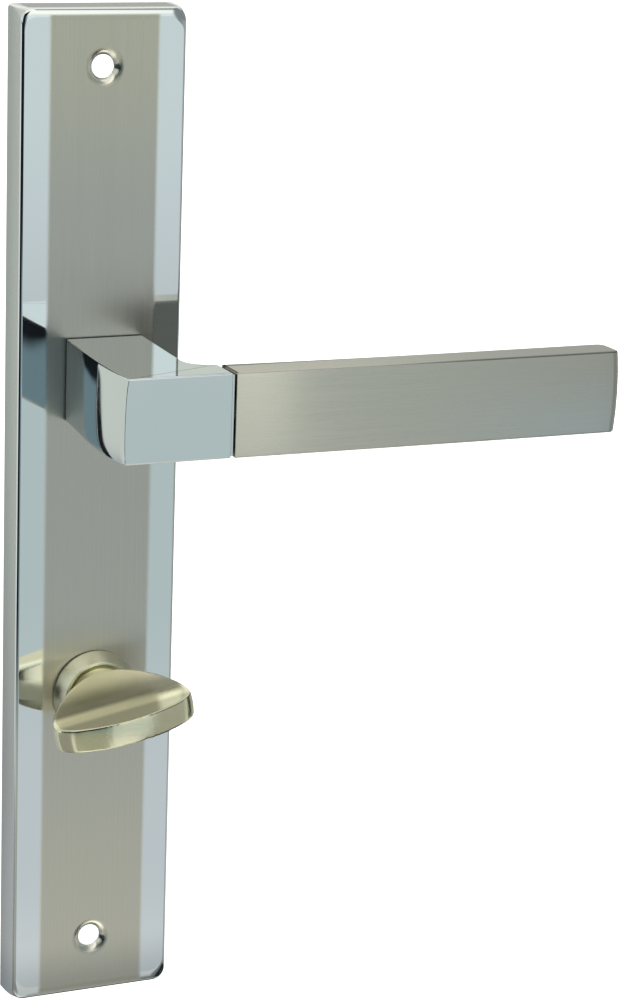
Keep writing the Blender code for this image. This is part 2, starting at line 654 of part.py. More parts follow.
def build_cover_screws():
    head_front = COVER_BACK - GAP
    for name, height in (("cover_screw_upper", POST_HEIGHT), ("cover_screw_lower", -POST_HEIGHT)):
        profile = [(0.0, SCREW_TIP), (SCREW_RADIUS, SCREW_TIP), (SCREW_RADIUS, head_front),
                   (SCREW_HEAD_RADIUS, head_front), (SCREW_HEAD_RADIUS, SCREW_HEAD_BACK + SCREW_CHAMFER),
                   (SCREW_HEAD_RADIUS - SCREW_CHAMFER, SCREW_HEAD_BACK), (0.0, SCREW_HEAD_BACK)]
        screw = turned(name, PARTS, profile, 12, height=height)
        cut(screw, block(name + "_slot", CUTTERS, (-SCREW_HEAD_RADIUS - CUT, SCREW_HEAD_RADIUS + CUT),
                         (SCREW_HEAD_BACK - CUT, SCREW_HEAD_BACK + SCREW_SLOT_DEPTH),
                         (height - SCREW_SLOT_HALF_WIDTH, height + SCREW_SLOT_HALF_WIDTH)))
        finish(screw, "zinc_steel")


def circlip_outline(inner, outer):
    """An open ring, seen from the front, with an ear at each side of its opening."""
    start = -90 + CIRCLIP_OPENING
    end = 270 - CIRCLIP_OPENING
    points = arc((0, 0), outer + CIRCLIP_EAR, start, start + CIRCLIP_EAR_WIDTH, 2)
    points += arc((0, 0), outer, start + CIRCLIP_EAR_WIDTH + 3, end - CIRCLIP_EAR_WIDTH - 3, 24)
    points += arc((0, 0), outer + CIRCLIP_EAR, end - CIRCLIP_EAR_WIDTH, end, 2)
    points += arc((0, 0), inner, end, start, 24)
    return points


def build_lever_retainers(axis):
    washer = ring("lever_washer", PARTS, SPIGOT_RADIUS + GAP, WASHER_RADIUS, (WASHER_BACK, WASHER_FRONT))
    finish(washer, "zinc_steel", axis)
    points = circlip_outline(CIRCLIP_GROOVE_RADIUS + GAP, CIRCLIP_RADIUS)
    circlip = front_outline("lever_circlip", PARTS, points, (CIRCLIP_BACK, CIRCLIP_FRONT))
    finish(circlip, "black_steel", axis)


# Thumbturn

def build_turn_collar():
    profile = [(COLLAR_RECESS_RADIUS, COLLAR_FRONT), (COLLAR_FRONT_RADIUS - COLLAR_CHAMFER, COLLAR_FRONT),
               (COLLAR_FRONT_RADIUS, COLLAR_FRONT - COLLAR_CHAMFER),
               (COLLAR_BASE_RADIUS, PLATE_DEPTH + COLLAR_BASE_HEIGHT),
               (COLLAR_BASE_RADIUS, PLATE_DEPTH + GAP), (COLLAR_SPIGOT_RADIUS, PLATE_DEPTH + GAP),
               (COLLAR_SPIGOT_RADIUS, COLLAR_SPIGOT_END), (COLLAR_BORE, COLLAR_SPIGOT_END),
               (COLLAR_BORE, COLLAR_RECESS), (COLLAR_RECESS_RADIUS, COLLAR_RECESS)]
    collar = turned("turn_collar", PARTS, profile, FINE_STEPS, closed=True, height=TURN_HEIGHT)
    finish(collar, "satin_nickel")


def build_turn_bearing():
    bush = ring("turn_bush", PARTS, JOURNAL_RADIUS + GAP, TURN_BUSH_OUTER,
                (TURN_BUSH_BACK, TURN_BUSH_FRONT), height=TURN_HEIGHT)
    finish(bush, "nylon")
    clip = ring("collar_clip", PARTS, COLLAR_SPIGOT_RADIUS + GAP, COLLAR_CLIP_RADIUS,
                (COLLAR_CLIP_BACK, CAVITY_DEPTH - GAP), height=TURN_HEIGHT)
    finish(clip, "zinc_steel")


def build_turn_retainers(axis):
    washer = ring("turn_washer", PARTS, JOURNAL_RADIUS + GAP, TURN_WASHER_RADIUS,
                  (TURN_WASHER_BACK, TURN_WASHER_FRONT), height=TURN_HEIGHT)
    finish(washer, "spring_steel", axis)
    points = circlip_outline(TURN_GROOVE_RADIUS + GAP, TURN_CIRCLIP_RADIUS)
    circlip = front_outline("turn_circlip", PARTS, points, (TURN_CIRCLIP_BACK, TURN_CIRCLIP_FRONT),
                            TURN_HEIGHT)
    finish(circlip, "black_steel", axis)


def bezier(start, handles, end, steps):
    points = []
    for step in range(steps + 1):
        t = step / steps
        weights = ((1 - t) ** 3, 3 * t * (1 - t) ** 2, 3 * t * t * (1 - t), t ** 3)
        anchors = (start, *handles, end)
        points.append(tuple(sum(w * a[i] for w, a in zip(weights, anchors)) for i in (0, 1)))
    return points


def knob_profile():
    """Front dome, flare, stem and journal of the thumbturn, as (radius, depth) points."""
    dome = KNOB_FRONT - KNOB_WIDEST
    angles = [math.radians(15 * step) for step in range(7)]
    profile = [(KNOB_RADIUS * math.sin(angle), KNOB_WIDEST + dome * math.cos(angle)) for angle in angles]
    flare = bezier((KNOB_WIDEST, KNOB_RADIUS), FLARE_HANDLES, (FLARE_START, STEM_RADIUS), 7)
    profile += [(radius, depth) for depth, radius in flare[1:]]
    groove_front = TURN_CIRCLIP_FRONT + GAP
    groove_back = TURN_CIRCLIP_BACK - GAP
    profile += [(STEM_RADIUS, STEM_BACK), (JOURNAL_RADIUS, STEM_BACK), (JOURNAL_RADIUS, groove_front),
                (TURN_GROOVE_RADIUS, groove_front), (TURN_GROOVE_RADIUS, groove_back),
                (JOURNAL_RADIUS, groove_back), (JOURNAL_RADIUS, JOURNAL_END), (0.0, JOURNAL_END)]
    return profile


def scoop(name, side):
    """What one finger scoop takes away, above or below the blade. It is curved in side view."""
    curve = bezier(SCOOP_START, SCOOP_HANDLES, SCOOP_END, 10)
    points = [(-depth, side * height) for depth, height in curve]
    points += [(-SCOOP_END[0], side * SCOOP_TOP), (-SCOOP_START[0], side * SCOOP_TOP)]
    return outline_solid(name, CUTTERS, points, 2 * KNOB_RADIUS + 4 * CUT, (0.0, 0.0, TURN_HEIGHT),
                         (math.pi / 2, 0.0, math.pi / 2))


def build_turn_knob(axis):
    knob = turned("turn_knob", PARTS, knob_profile(), FINE_STEPS, height=TURN_HEIGHT)
    cut(knob, scoop("scoop_upper", 1), scoop("scoop_lower", -1))
    half = TURN_SPINDLE_SIZE / 2 + GAP
    cut(knob, block("turn_spindle_bore", CUTTERS, (-half, half),
                    (JOURNAL_END - CUT, TURN_SPINDLE_FRONT + GAP),
                    (TURN_HEIGHT - half, TURN_HEIGHT + half)))
    cut(knob, rod("turn_pin_bore", CUTTERS, PIN_RADIUS + GAP, 2 * (JOURNAL_RADIUS + CUT),
                  (0.0, -PIN_DEPTH, TURN_HEIGHT), TO_RIGHT, sides=12))
    finish(knob, "satin_nickel", axis)


def build_turn_spindle(axis):
    half = TURN_SPINDLE_SIZE / 2
    spindle = block("turn_spindle", PARTS, (-half, half), (TURN_SPINDLE_BACK, TURN_SPINDLE_FRONT),
                    (TURN_HEIGHT - half, TURN_HEIGHT + half))
    bevel(spindle, SPINDLE_EDGE)
    cut(spindle, rod("spindle_pin_bore", CUTTERS, PIN_RADIUS + GAP, 2 * (half + CUT),
                     (0.0, -PIN_DEPTH, TURN_HEIGHT), TO_RIGHT, sides=12))
    finish(spindle, "zinc_steel", axis)
    pin = rod("turn_pin", PARTS, PIN_RADIUS, 2 * PIN_HALF_LENGTH, (0.0, -PIN_DEPTH, TURN_HEIGHT),
              TO_RIGHT, sides=12)
    finish(pin, "zinc_steel", axis)


clear_scene()
PARTS = new_collection("door_lever_handle")
CUTTERS = new_collection("cutters")

build_backplate()
build_lever_bush()
build_return_spring()
build_spring_cover()
build_cover_screws()

lever_axis = new_axis("lever_axis", 0.0)
build_lever_body(lever_axis)
build_lever_grip(lever_axis)
build_grip_joint(lever_axis)
build_spindle(lever_axis)
build_drive_hub(lever_axis)
build_lever_retainers(lever_axis)

build_turn_collar()
build_turn_bearing()
turn_axis = new_axis("turn_axis", TURN_HEIGHT)
build_turn_knob(turn_axis)
build_turn_spindle(turn_axis)
build_turn_retainers(turn_axis)
bpy.context.view_layer.update()
turn_axis.rotation_euler = (0.0, -TURN_TILT, 0.0)
bpy.context.view_layer.update()
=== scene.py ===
"""The looks of the door lever handle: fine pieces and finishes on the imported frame, in a pale studio.

Frame: metres, +Z up. The origin is on the lever's axis at the door's face, and the front faces -Y.
A depth is a distance in front of the door's face, so a point at depth d has y = -d.
An azimuth of 0 is the direction -Y, in front of the handle, and 90 is +X.
"""

import math

import bmesh
import bpy
from mathutils import Matrix, Vector


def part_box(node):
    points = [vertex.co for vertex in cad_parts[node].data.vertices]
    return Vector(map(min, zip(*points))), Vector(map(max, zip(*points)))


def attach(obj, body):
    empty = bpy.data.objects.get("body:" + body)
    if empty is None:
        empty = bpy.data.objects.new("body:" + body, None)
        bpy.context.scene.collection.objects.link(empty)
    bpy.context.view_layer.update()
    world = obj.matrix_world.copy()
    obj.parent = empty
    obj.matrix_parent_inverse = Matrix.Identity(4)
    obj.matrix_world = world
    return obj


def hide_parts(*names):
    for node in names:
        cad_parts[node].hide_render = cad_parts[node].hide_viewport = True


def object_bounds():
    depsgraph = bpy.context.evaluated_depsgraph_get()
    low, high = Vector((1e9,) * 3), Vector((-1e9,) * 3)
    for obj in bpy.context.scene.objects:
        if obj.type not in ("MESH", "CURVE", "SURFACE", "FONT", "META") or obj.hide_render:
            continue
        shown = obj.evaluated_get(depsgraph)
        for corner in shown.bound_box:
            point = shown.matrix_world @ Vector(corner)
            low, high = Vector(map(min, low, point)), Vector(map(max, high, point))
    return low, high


MM = 0.001

# Camera: lens in millimetres on a 36 mm sensor, place, and the picture's right and up directions
CAMERA_LENS = 105.87
CAMERA_AZIMUTH = -24.1555
CAMERA_ELEVATION = 14.9361
CAMERA_ROLL = 2.0496
CAMERA_DISTANCE = 734.13 * MM
CAMERA_TARGET = (59.474 * MM, 0.0, -36.726 * MM)

# Backplate
PLATE_FRONT = 9.4 * MM
PLATE_FRONT_WALL = 1.8 * MM
PLATE_SIDE_WALL = 2.2 * MM
PLATE_DRAFT = 0.25 * MM            # how far the side walls lean in
PLATE_EDGE_DEPTH = 1.0 * MM        # of the rounded front edge
PLATE_SIDE_RUN = 0.85 * MM         # how far it runs into the front at the sides, and at the top and bottom
PLATE_END_RUN = 1.3 * MM
PLATE_EDGE_END = 72                # degrees the end's rounding turns before it eases out into the front
PLATE_EASE_RUN = 2.2 * MM
PLATE_BACK_CORNER = 1.0 * MM       # corner radius at the door, where the front edge starts and at the front
PLATE_EDGE_CORNER = 3.0 * MM
PLATE_FRONT_CORNER = 3.6 * MM
PLATE_CORNER_POWER = 4
PLATE_CORNER_STEPS = 14
PLATE_WALL_STEPS = 8
PLATE_EDGE_STEPS = 12
PLATE_EASE_STEPS = 8
CAVITY_CORNER = 2.5 * MM
BAND_HALF_WIDTH = 13.25 * MM
HOLE_HEIGHTS = (73.0 * MM, -142.0 * MM)
HOLE_RADIUS = 2.75 * MM
DIMPLE_RADIUS = 4.9 * MM
DIMPLE_DEPTH = 1.25 * MM
DIMPLE_STEPS = 12
DIMPLE_OVERRUN = 0.06              # share of its width that the dimple's profile runs on past its edge
DIMPLE_OVERRUN_RISE = 0.06 * MM
RIB_DEPTH = 3.0 * MM
RIB_THICKNESS = 1.6 * MM
RIB_HEIGHTS = (45.0 * MM, -46.0 * MM, -112.0 * MM)
POCKET_INNER = 15.2 * MM
POCKET_OUTER = 16.6 * MM
POCKET_BACK = 3.2 * MM
POST_HEIGHT = 20.6 * MM
POST_RADIUS = 2.8 * MM
POST_HOLE_RADIUS = 1.4 * MM
POST_HOLE_FRONT = 6.5 * MM
STOP_ORBIT = 13.4 * MM
STOP_RADIUS = 1.5 * MM
STOP_BACK = 5.5 * MM
STOP_ANGLES = (108.5, 31.5)
LEVER_HOLE_RADIUS = 8.3 * MM
TURN_HOLE_RADIUS = 8.7 * MM

# Lever, with (x, depth) points down the left side of its neck and arm
NECK_BACK = 9.8 * MM
NECK_RIGHT_AT_PLATE = 10.3 * MM
NECK_RIGHT = 9.6 * MM
ARM_FRONT = 53.75 * MM
ARM_BACK = 44.4 * MM
ARM_FILLET = 6.4 * MM
FILLET_INSET = 0.4 * MM
NECK_LEFT_START = (-8.6 * MM, NECK_BACK)
NECK_LEFT_HANDLES = ((-9.1 * MM, 20 * MM), (-10.1 * MM, 30 * MM))
NECK_LEFT_WIDEST = (-10.15 * MM, 40 * MM)
ARM_LEFT_HANDLES = ((-10.15 * MM, 46 * MM), (-10.0 * MM, 51.2 * MM))
ARM_LEFT_END = (-9.35 * MM, ARM_FRONT)
BODY_END = 15.6 * MM
SHOULDER_INSET = 0.45 * MM
LEVER_EDGE = 0.35 * MM
CORNER_EDGE = 0.18 * MM
PILLOW = 0.6 * MM                  # how far the neck's left face bulges
PILLOW_CENTRE = -3.0 * MM
PILLOW_REACH = 12.9 * MM
PILLOW_RUN = 22 * MM               # of depth, over which it grows
PILLOW_ROLL = 0.25 * MM            # extra rounding next to its upper and lower edges
PILLOW_ROLL_POWER = 10
BELLY = 0.6 * MM                   # how far the left face's lower edge hangs down
BELLY_START = 12 * MM              # its depth, and where across the neck it ends
BELLY_RIGHT = 5 * MM
BELLY_WIDTH = 15 * MM
BELLY_POWER = 1.6
SPIGOT_RADIUS = 7.2 * MM
SPIGOT_FLAT = 6.1 * MM
SPIGOT_FLAT_START = 6.55 * MM
CIRCLIP_GROOVE_RADIUS = 6.6 * MM
CIRCLIP_GROOVE = (0.3 * MM, 1.5 * MM)
SPINDLE_BORE = 4.3 * MM
SPINDLE_BORE_FRONT = 38.3 * MM
GRUB_DEPTH = 24.0 * MM
GRUB_BORE_RADIUS = 3.0 * MM
GRIP_FRONT_START = 53.95 * MM
GRIP_BACK_START = 44.6 * MM
GRIP_BACK_MIDDLE = 45.7 * MM
GRIP_BACK_END = 46.3 * MM
GRIP_BACK_BEND = 18.0 * MM         # from the grip's start to where its back straightens
GRIP_BACK_RUN = (40.0 * MM, 0.1 * MM)       # from the grip's end, and how much shallower it is there
GRIP_BACK_HANDLE = (60.0 * MM, 0.2 * MM)
GRIP_STEPS = 16
GRIP_TIP_CORNER = 2.0 * MM
GRIP_END_CORNER = 2.0 * MM
GRIP_END_EXTRA = 0.75 * MM         # how far the rounded end reaches past the plain one
GRIP_CROWN = 0.6 * MM              # how far the grip's end stands out at its middle
GRIP_EDGE = 0.45 * MM

# Thumbturn
TURN_HEIGHT = -78.0 * MM
TURN_TILT = math.radians(10.4)
COLLAR_BASE_RADIUS = 10.6 * MM
COLLAR_FRONT_RADIUS = 8.95 * MM
COLLAR_FRONT = 13.85 * MM
COLLAR_RECESS = 12.9 * MM
COLLAR_RECESS_RADIUS = 8.15 * MM
COLLAR_BORE = 7.4 * MM
COLLAR_SPIGOT_RADIUS = 8.4 * MM
COLLAR_SPIGOT_END = 4.9 * MM
COLLAR_RIM = 1.0 * MM              # height of its straight base
COLLAR_EDGE = 0.1 * MM
COLLAR_ROUND = (0.3 * MM, 0.4 * MM)        # radial and axial run of the rounded front edge
COLLAR_SLOPE = 0.08 * MM
STEM_RADIUS = 7.8 * MM
STEM_BACK = 13.2 * MM
JOURNAL_RADIUS = 6.0 * MM
JOURNAL_END = 1.5 * MM
TURN_GROOVE_RADIUS = 5.4 * MM
TURN_GROOVE = (2.6 * MM, 3.8 * MM)
KNOB_RADIUS = 17.2 * MM
KNOB_WIDEST = 30.8 * MM
KNOB_FRONT = 39.0 * MM
KNOB_DOME_STEPS = 18
FLARE_HANDLES = ((27.0 * MM, 17.8 * MM), (22.0 * MM, 14.0 * MM))
FLARE_START = 17.2 * MM
SCOOP_START = (16.6 * MM, 8.3 * MM)      # depth and height of the scoop's back edge
SCOOP_BEND = (24.8 * MM, 4.53 * MM)      # where its straight slope starts to curve
SCOOP_HANDLES = ((27.2 * MM, 3.43 * MM), (29.6 * MM, 2.87 * MM))
SCOOP_LIP = (32.0 * MM, 2.87 * MM)       # where it has turned level
SCOOP_END = (40.2 * MM, 3.0 * MM)
SCOOP_TOP = 20.0 * MM
TURN_BORE = 3.3 * MM
TURN_BORE_FRONT = 22.3 * MM
KNOB_VOXEL = 0.23 * MM

GAP = 0.3 * MM
CUT = 1.0 * MM
SINK = 0.3 * MM
BROAD_AREA = 500 * MM * MM         # faces above these areas are shaded on their own
LEVER_FLAT_AREA = 40 * MM * MM
FLOOR_SIZE = 12.0
FLOOR_DROP = 12 * MM

FINE = 96
COARSE = 48

# Colours and roughness
CHROME = (0.79, 0.82, 0.83)
NICKEL = (0.69, 0.67, 0.61)
DIMPLE_NICKEL = (0.84, 0.83, 0.75)
GRIP_NICKEL = (0.585, 0.57, 0.505)
TURN_NICKEL = (0.87, 0.84, 0.62)
COLLAR_NICKEL = (0.80, 0.79, 0.62)
# Painted light: the brushed band is lighter near its top and low down
BAND_TOP_PAINTED_LIGHT = (1.15, 1.12, 1.0)
BAND_LOW_PAINTED_LIGHT = (1.13, 1.11, 1.06)
WALL_PAINTED_SHADE_COLOURS = ((0.735, 0.745, 0.75), (0.575, 0.59, 0.60))     # at the front edge and at the door, where it is darker as painted shade
END_COLOUR = (0.93, 0.94, 0.92)
CAST_COLOURS = ((0.42, 0.42, 0.41), (0.55, 0.55, 0.54))
# Painted shade that darkens the foot
FOOT_PAINTED_SHADE = (0.64, 0.66, 0.69)
# Painted dark reflection line along the foot's front edge
FOOT_PAINTED_REFLECTION_LINE = (0.08, 0.08, 0.09)
# Painted shade on the back of the arm
ARM_BACK_PAINTED_SHADE = (0.30, 0.31, 0.31)
# Painted contact shadow at the neck's root
NECK_ROOT_PAINTED_SHADOW = (0.06, 0.06, 0.065)
# Painted cool reflection towards the grip's end
GRIP_PAINTED_COOL_REFLECTION = (1.02, 1.09, 1.20)
# Painted darker, cooler reflection along the grip's top
GRIP_TOP_PAINTED_DARK_REFLECTION = (0.66, 0.68, 0.72)
# Painted dark reflection line by the grip's top front edge
GRIP_PAINTED_REFLECTION_LINE = (0.24, 0.24, 0.23)
# Painted shade on the grip's back
GRIP_BACK_PAINTED_SHADE = (0.20, 0.205, 0.20)
CHROME_ROUGHNESS = 0.05
BAND_ROUGHNESS = (0.30, 0.38)
DIMPLE_ROUGHNESS = 0.24
WALL_ROUGHNESS = 0.22
END_ROUGHNESS = 0.16
CAST_ROUGHNESS = 0.48
ARM_BACK_ROUGHNESS = 0.4

# Fineness of the grain along x, y and z
BAND_GRAIN = (5200.0, 900.0, 28.0)
BAND_STREAKS = (420.0, 300.0, 9.0)
GRIP_GRAIN = (30.0, 5200.0, 5200.0)
KNOB_GRAIN = (300.0, 4200.0, 4200.0)
COLLAR_GRAIN = (1500.0, 2600.0, 1500.0)

# Limits between which one finish of the plate fades into the next, in x from its middle, y and z
BAND_X = (BAND_HALF_WIDTH - 0.7 * MM, BAND_HALF_WIDTH + 0.7 * MM)
BAND_END_Z = (-60.0 * MM, 60.0 * MM)       # the band stops further from the rounded edge at the top
BAND_END_Y = (-8.9 * MM, -9.32 * MM)
BAND_END_FADE = 0.12 * MM
BAND_BACK_Y = (-8.0 * MM, -7.9 * MM)       # it goes on into the dimples
BAND_SPAN_Z = (-153.0 * MM, 83.0 * MM)
BAND_SPAN_FADE = 1.0 * MM
# Heights over which the band's painted light fades in at the top and low down
BAND_TOP_Z = (35.0 * MM, 82.0 * MM)
BAND_LOW_Z = (-140.0 * MM, -60.0 * MM)
DIMPLE_Y = (-9.3 * MM, -9.1 * MM)
WALL_X = (18.5 * MM, 18.7 * MM)
WALL_FRONT_Z = (-115.0 * MM, -70.0 * MM)   # the walls' finish goes on round the edge towards the foot
WALL_FRONT_Y = (-9.3 * MM, -8.5 * MM)
WALL_FRONT_FADE = 0.15 * MM
WALL_SHADE_Y = (-8.5 * MM, 0.0)
END_TOP_Z = (86.0 * MM, 86.3 * MM)
END_FOOT_Z = (-156.2 * MM, -155.9 * MM)
END_Y = (-8.5 * MM, -8.35 * MM)
CAST_X = (18.0 * MM, 18.15 * MM)
CAST_Y = (-7.8 * MM, -7.65 * MM)
# Heights over which the painted shade darkens the foot
FOOT_SHADE_Z = (-156.0 * MM, -141.0 * MM)
# Where the painted dark reflection line runs along the foot's front edge
FOOT_LINE_Z = (-155.9 * MM, -155.6 * MM)
FOOT_LINE_Y = (-8.5 * MM, -8.35 * MM)

# The same on the lever and the knob. The grip's top limits are measured from its top
ARM_BACK_X = (NECK_RIGHT + 0.6 * MM, NECK_RIGHT + 2.5 * MM)
ARM_BACK_Y = (-ARM_BACK - 0.25 * MM, -ARM_BACK - 0.05 * MM)
NECK_ROOT_Y = (-10.5 * MM, -10.3 * MM)
GRIP_COOL_X = (55.0 * MM, 110.0 * MM)
GRIP_COOL_Z = (-8.0 * MM, 8.0 * MM)
GRIP_TOP_X = (20.0 * MM, 100.0 * MM)
GRIP_TOP_BELOW = (0.1 * MM, 0.3 * MM)
GRIP_LINE_X = (50.0 * MM, 80.0 * MM)
GRIP_LINE_Y = (-54.5 * MM, -54.4 * MM)
GRIP_LINE_BELOW = (0.28 * MM, 0.36 * MM)
GRIP_BACK_Y = (-46.9 * MM, -46.6 * MM)
SCOOP_HEIGHT = (2.5 * MM, 2.75 * MM)
# Painted reflections on the finger scoops: a factor at their back, then (depth from, depth to, factor) for
# a dark band, a highlight band and a darker band
SCOOP_BACK_PAINTED_LIGHT = 1.1
SCOOP_PAINTED_REFLECTIONS = ((18.8 * MM, 25.4 * MM, 0.36), (26.9 * MM, 28.8 * MM, 1.12), (30.8 * MM, 33.2 * MM, 0.72))

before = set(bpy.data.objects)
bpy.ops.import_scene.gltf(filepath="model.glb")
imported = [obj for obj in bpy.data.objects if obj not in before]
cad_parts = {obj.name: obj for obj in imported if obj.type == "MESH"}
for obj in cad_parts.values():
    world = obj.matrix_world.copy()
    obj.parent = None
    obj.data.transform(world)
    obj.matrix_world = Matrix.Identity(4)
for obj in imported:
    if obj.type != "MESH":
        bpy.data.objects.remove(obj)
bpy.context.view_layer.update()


# Mesh helpers

def new_piece(name, bm):
    bmesh.ops.recalc_face_normals(bm, faces=bm.faces)
    mesh = bpy.data.meshes.new(name)
    bm.to_mesh(mesh)
    bm.free()
    obj = bpy.data.objects.new(name, mesh)
    bpy.context.scene.collection.objects.link(obj)
    return obj


def apply_modifiers(obj):
    graph = bpy.context.evaluated_depsgraph_get()
    mesh = bpy.data.meshes.new_from_object(obj.evaluated_get(graph))
    obj.modifiers.clear()
    obj.data = mesh
    return obj


def boolean(obj, cutter, operation):
    """Cuts or joins another object, and removes it."""
    modifier = obj.modifiers.new("Boolean", "BOOLEAN")
    modifier.operation = operation
    modifier.solver = "EXACT"
    modifier.object = cutter
    apply_modifiers(obj)
    bpy.data.objects.remove(cutter)
    return obj


def cut(obj, *cutters):
    for cutter in cutters:
        boolean(obj, cutter, "DIFFERENCE")


def join(obj, *pieces):
    for piece in pieces:
        boolean(obj, piece, "UNION")


def shade(obj, flat_area, angle=32):
    """Smooth shading in which the faces above an area stay truly flat."""
    obj.data.shade_smooth()
    obj.data.set_sharp_from_angle(angle=math.radians(angle))
    edges = {edge.key: edge for edge in obj.data.edges}
    for face in obj.data.polygons:
        if face.area > flat_area:
            for key in face.edge_keys:
                edges[key].use_edge_sharp = True
    modifier = obj.modifiers.new("Weighted normals", "WEIGHTED_NORMAL")
    modifier.keep_sharp = True
    return obj


def arc(centre, radius, start, end, steps):
    angles = [math.radians(start + (end - start) * i / steps) for i in range(steps + 1)]
    return [(centre[0] + radius * math.cos(a), centre[1] + radius * math.sin(a)) for a in angles]


def bezier(start, handles, end, steps):
    points = []
    for step in range(steps + 1):
        t = step / steps
        weights = ((1 - t) ** 3, 3 * t * (1 - t) ** 2, 3 * t * t * (1 - t), t ** 3)
        anchors = (start, *handles, end)
        points.append(tuple(sum(w * a[i] for w, a in zip(weights, anchors)) for i in (0, 1)))
    return points


def loft(name, rings):
    """A solid through closed rings of points, with a flat cap at each end."""
    bm = bmesh.new()
    loops = [[bm.verts.new(point) for point in ring] for ring in rings]
    for lower, upper in zip(loops, loops[1:]):
        for i in range(len(lower)):
            j = (i + 1) % len(lower)
            bm.faces.new((lower[i], lower[j], upper[j], upper[i]))
    bm.faces.new(loops[0])
    bm.faces.new(loops[-1])
    return new_piece(name, bm)


def lathe(name, profile, height=0.0, closed=False, steps=FINE):
    """A turned solid about the depth's direction. Its profile holds (radius, depth) points."""
    bm = bmesh.new()
    rings = []
    for radius, depth in profile:
        if radius == 0.0:
            rings.append([bm.verts.new((0.0, -depth, height))])
        else:
            circle = arc((0.0, height), radius, 0, 360, steps)[:-1]
            rings.append([bm.verts.new((x, -depth, z)) for x, z in circle])
    pairs = list(zip(rings, rings[1:]))
    if closed:
        pairs.append((rings[-1], rings[0]))
    for first, second in pairs:
        for i in range(steps):
            j = (i + 1) % steps
            corners = [first[i % len(first)], first[j % len(first)],
                       second[j % len(second)], second[i % len(second)]]
            bm.faces.new(list(dict.fromkeys(corners)))
    return new_piece(name, bm)


def disc(name, radius, depth, x=0.0, z=0.0, steps=COARSE):
    """A cylinder along the depth, between two depths."""
    rings = [[(px, -d, pz) for px, pz in arc((x, z), radius, 0, 360, steps)[:-1]] for d in depth]
    return loft(name, rings)


def box(name, x, depth, z):
    corners = [(x[0], z[0]), (x[1], z[0]), (x[1], z[1]), (x[0], z[1])]
    return loft(name, [[(px, -d, pz) for px, pz in corners] for d in depth])


def pipe(name, inner, outer, depth, steps=COARSE):
    return lathe(name, [(inner, depth[1]), (outer, depth[1]), (outer, depth[0]), (inner, depth[0])],
                 closed=True, steps=steps)


def drawn_in(points, inset):
    """A closed counterclockwise outline, offset inwards."""
    moved = []
    for i, point in enumerate(points):
        before = Vector(point) - Vector(points[i - 1])
        after = Vector(points[(i + 1) % len(points)]) - Vector(point)
        before.normalize()
        after.normalize()
        inward = Vector((-before.y - after.y, before.x + after.x))
        if inward.length < 1e-6:
            inward = Vector((-before.y, before.x))
        inward.normalize()
        lean = max(0.3, inward.dot(Vector((-before.y, before.x))))
        moved.append(tuple(Vector(point) + inward * inset / lean))
    return moved


def prism(name, outline, half_height, edge, levels=1, steps=4):
    """An upright solid with rounded upper and lower edges. outline(z) gives its (x, depth) points."""
    heights = [(-half_height + edge * (1 - math.sin(a)), edge * (1 - math.cos(a)))
               for a in (math.radians(90 - 90 * i / steps) for i in range(steps + 1))]
    inner = half_height - edge
    middle = [(-inner * math.cos(math.pi * i / levels), 0.0) for i in range(1, levels)]
    top = [(-z, inset) for z, inset in heights[::-1]]
    rings = []
    for z, inset in heights + middle + top:
        flat = [(x, -depth) for x, depth in outline(z)]
        rings.append([(x, y, z) for x, y in drawn_in(flat, inset)])
    return loft(name, rings)


def rounded_corner(corner, before, after, radius, steps=3):
    """Points of a small round at a corner of an outline."""
    corner = Vector(corner)
    to_before = (Vector(before) - corner).normalized()
    to_after = (Vector(after) - corner).normalized()
    half = to_before.angle(to_after) / 2
    run = radius / math.tan(half)
    start = corner + to_before * run
    end = corner + to_after * run
    points = []
    for step in range(steps + 1):
        t = step / steps
        points.append(tuple(start * (1 - t) ** 2 + corner * 2 * t * (1 - t) + end * t * t))
    return points


# Node helpers

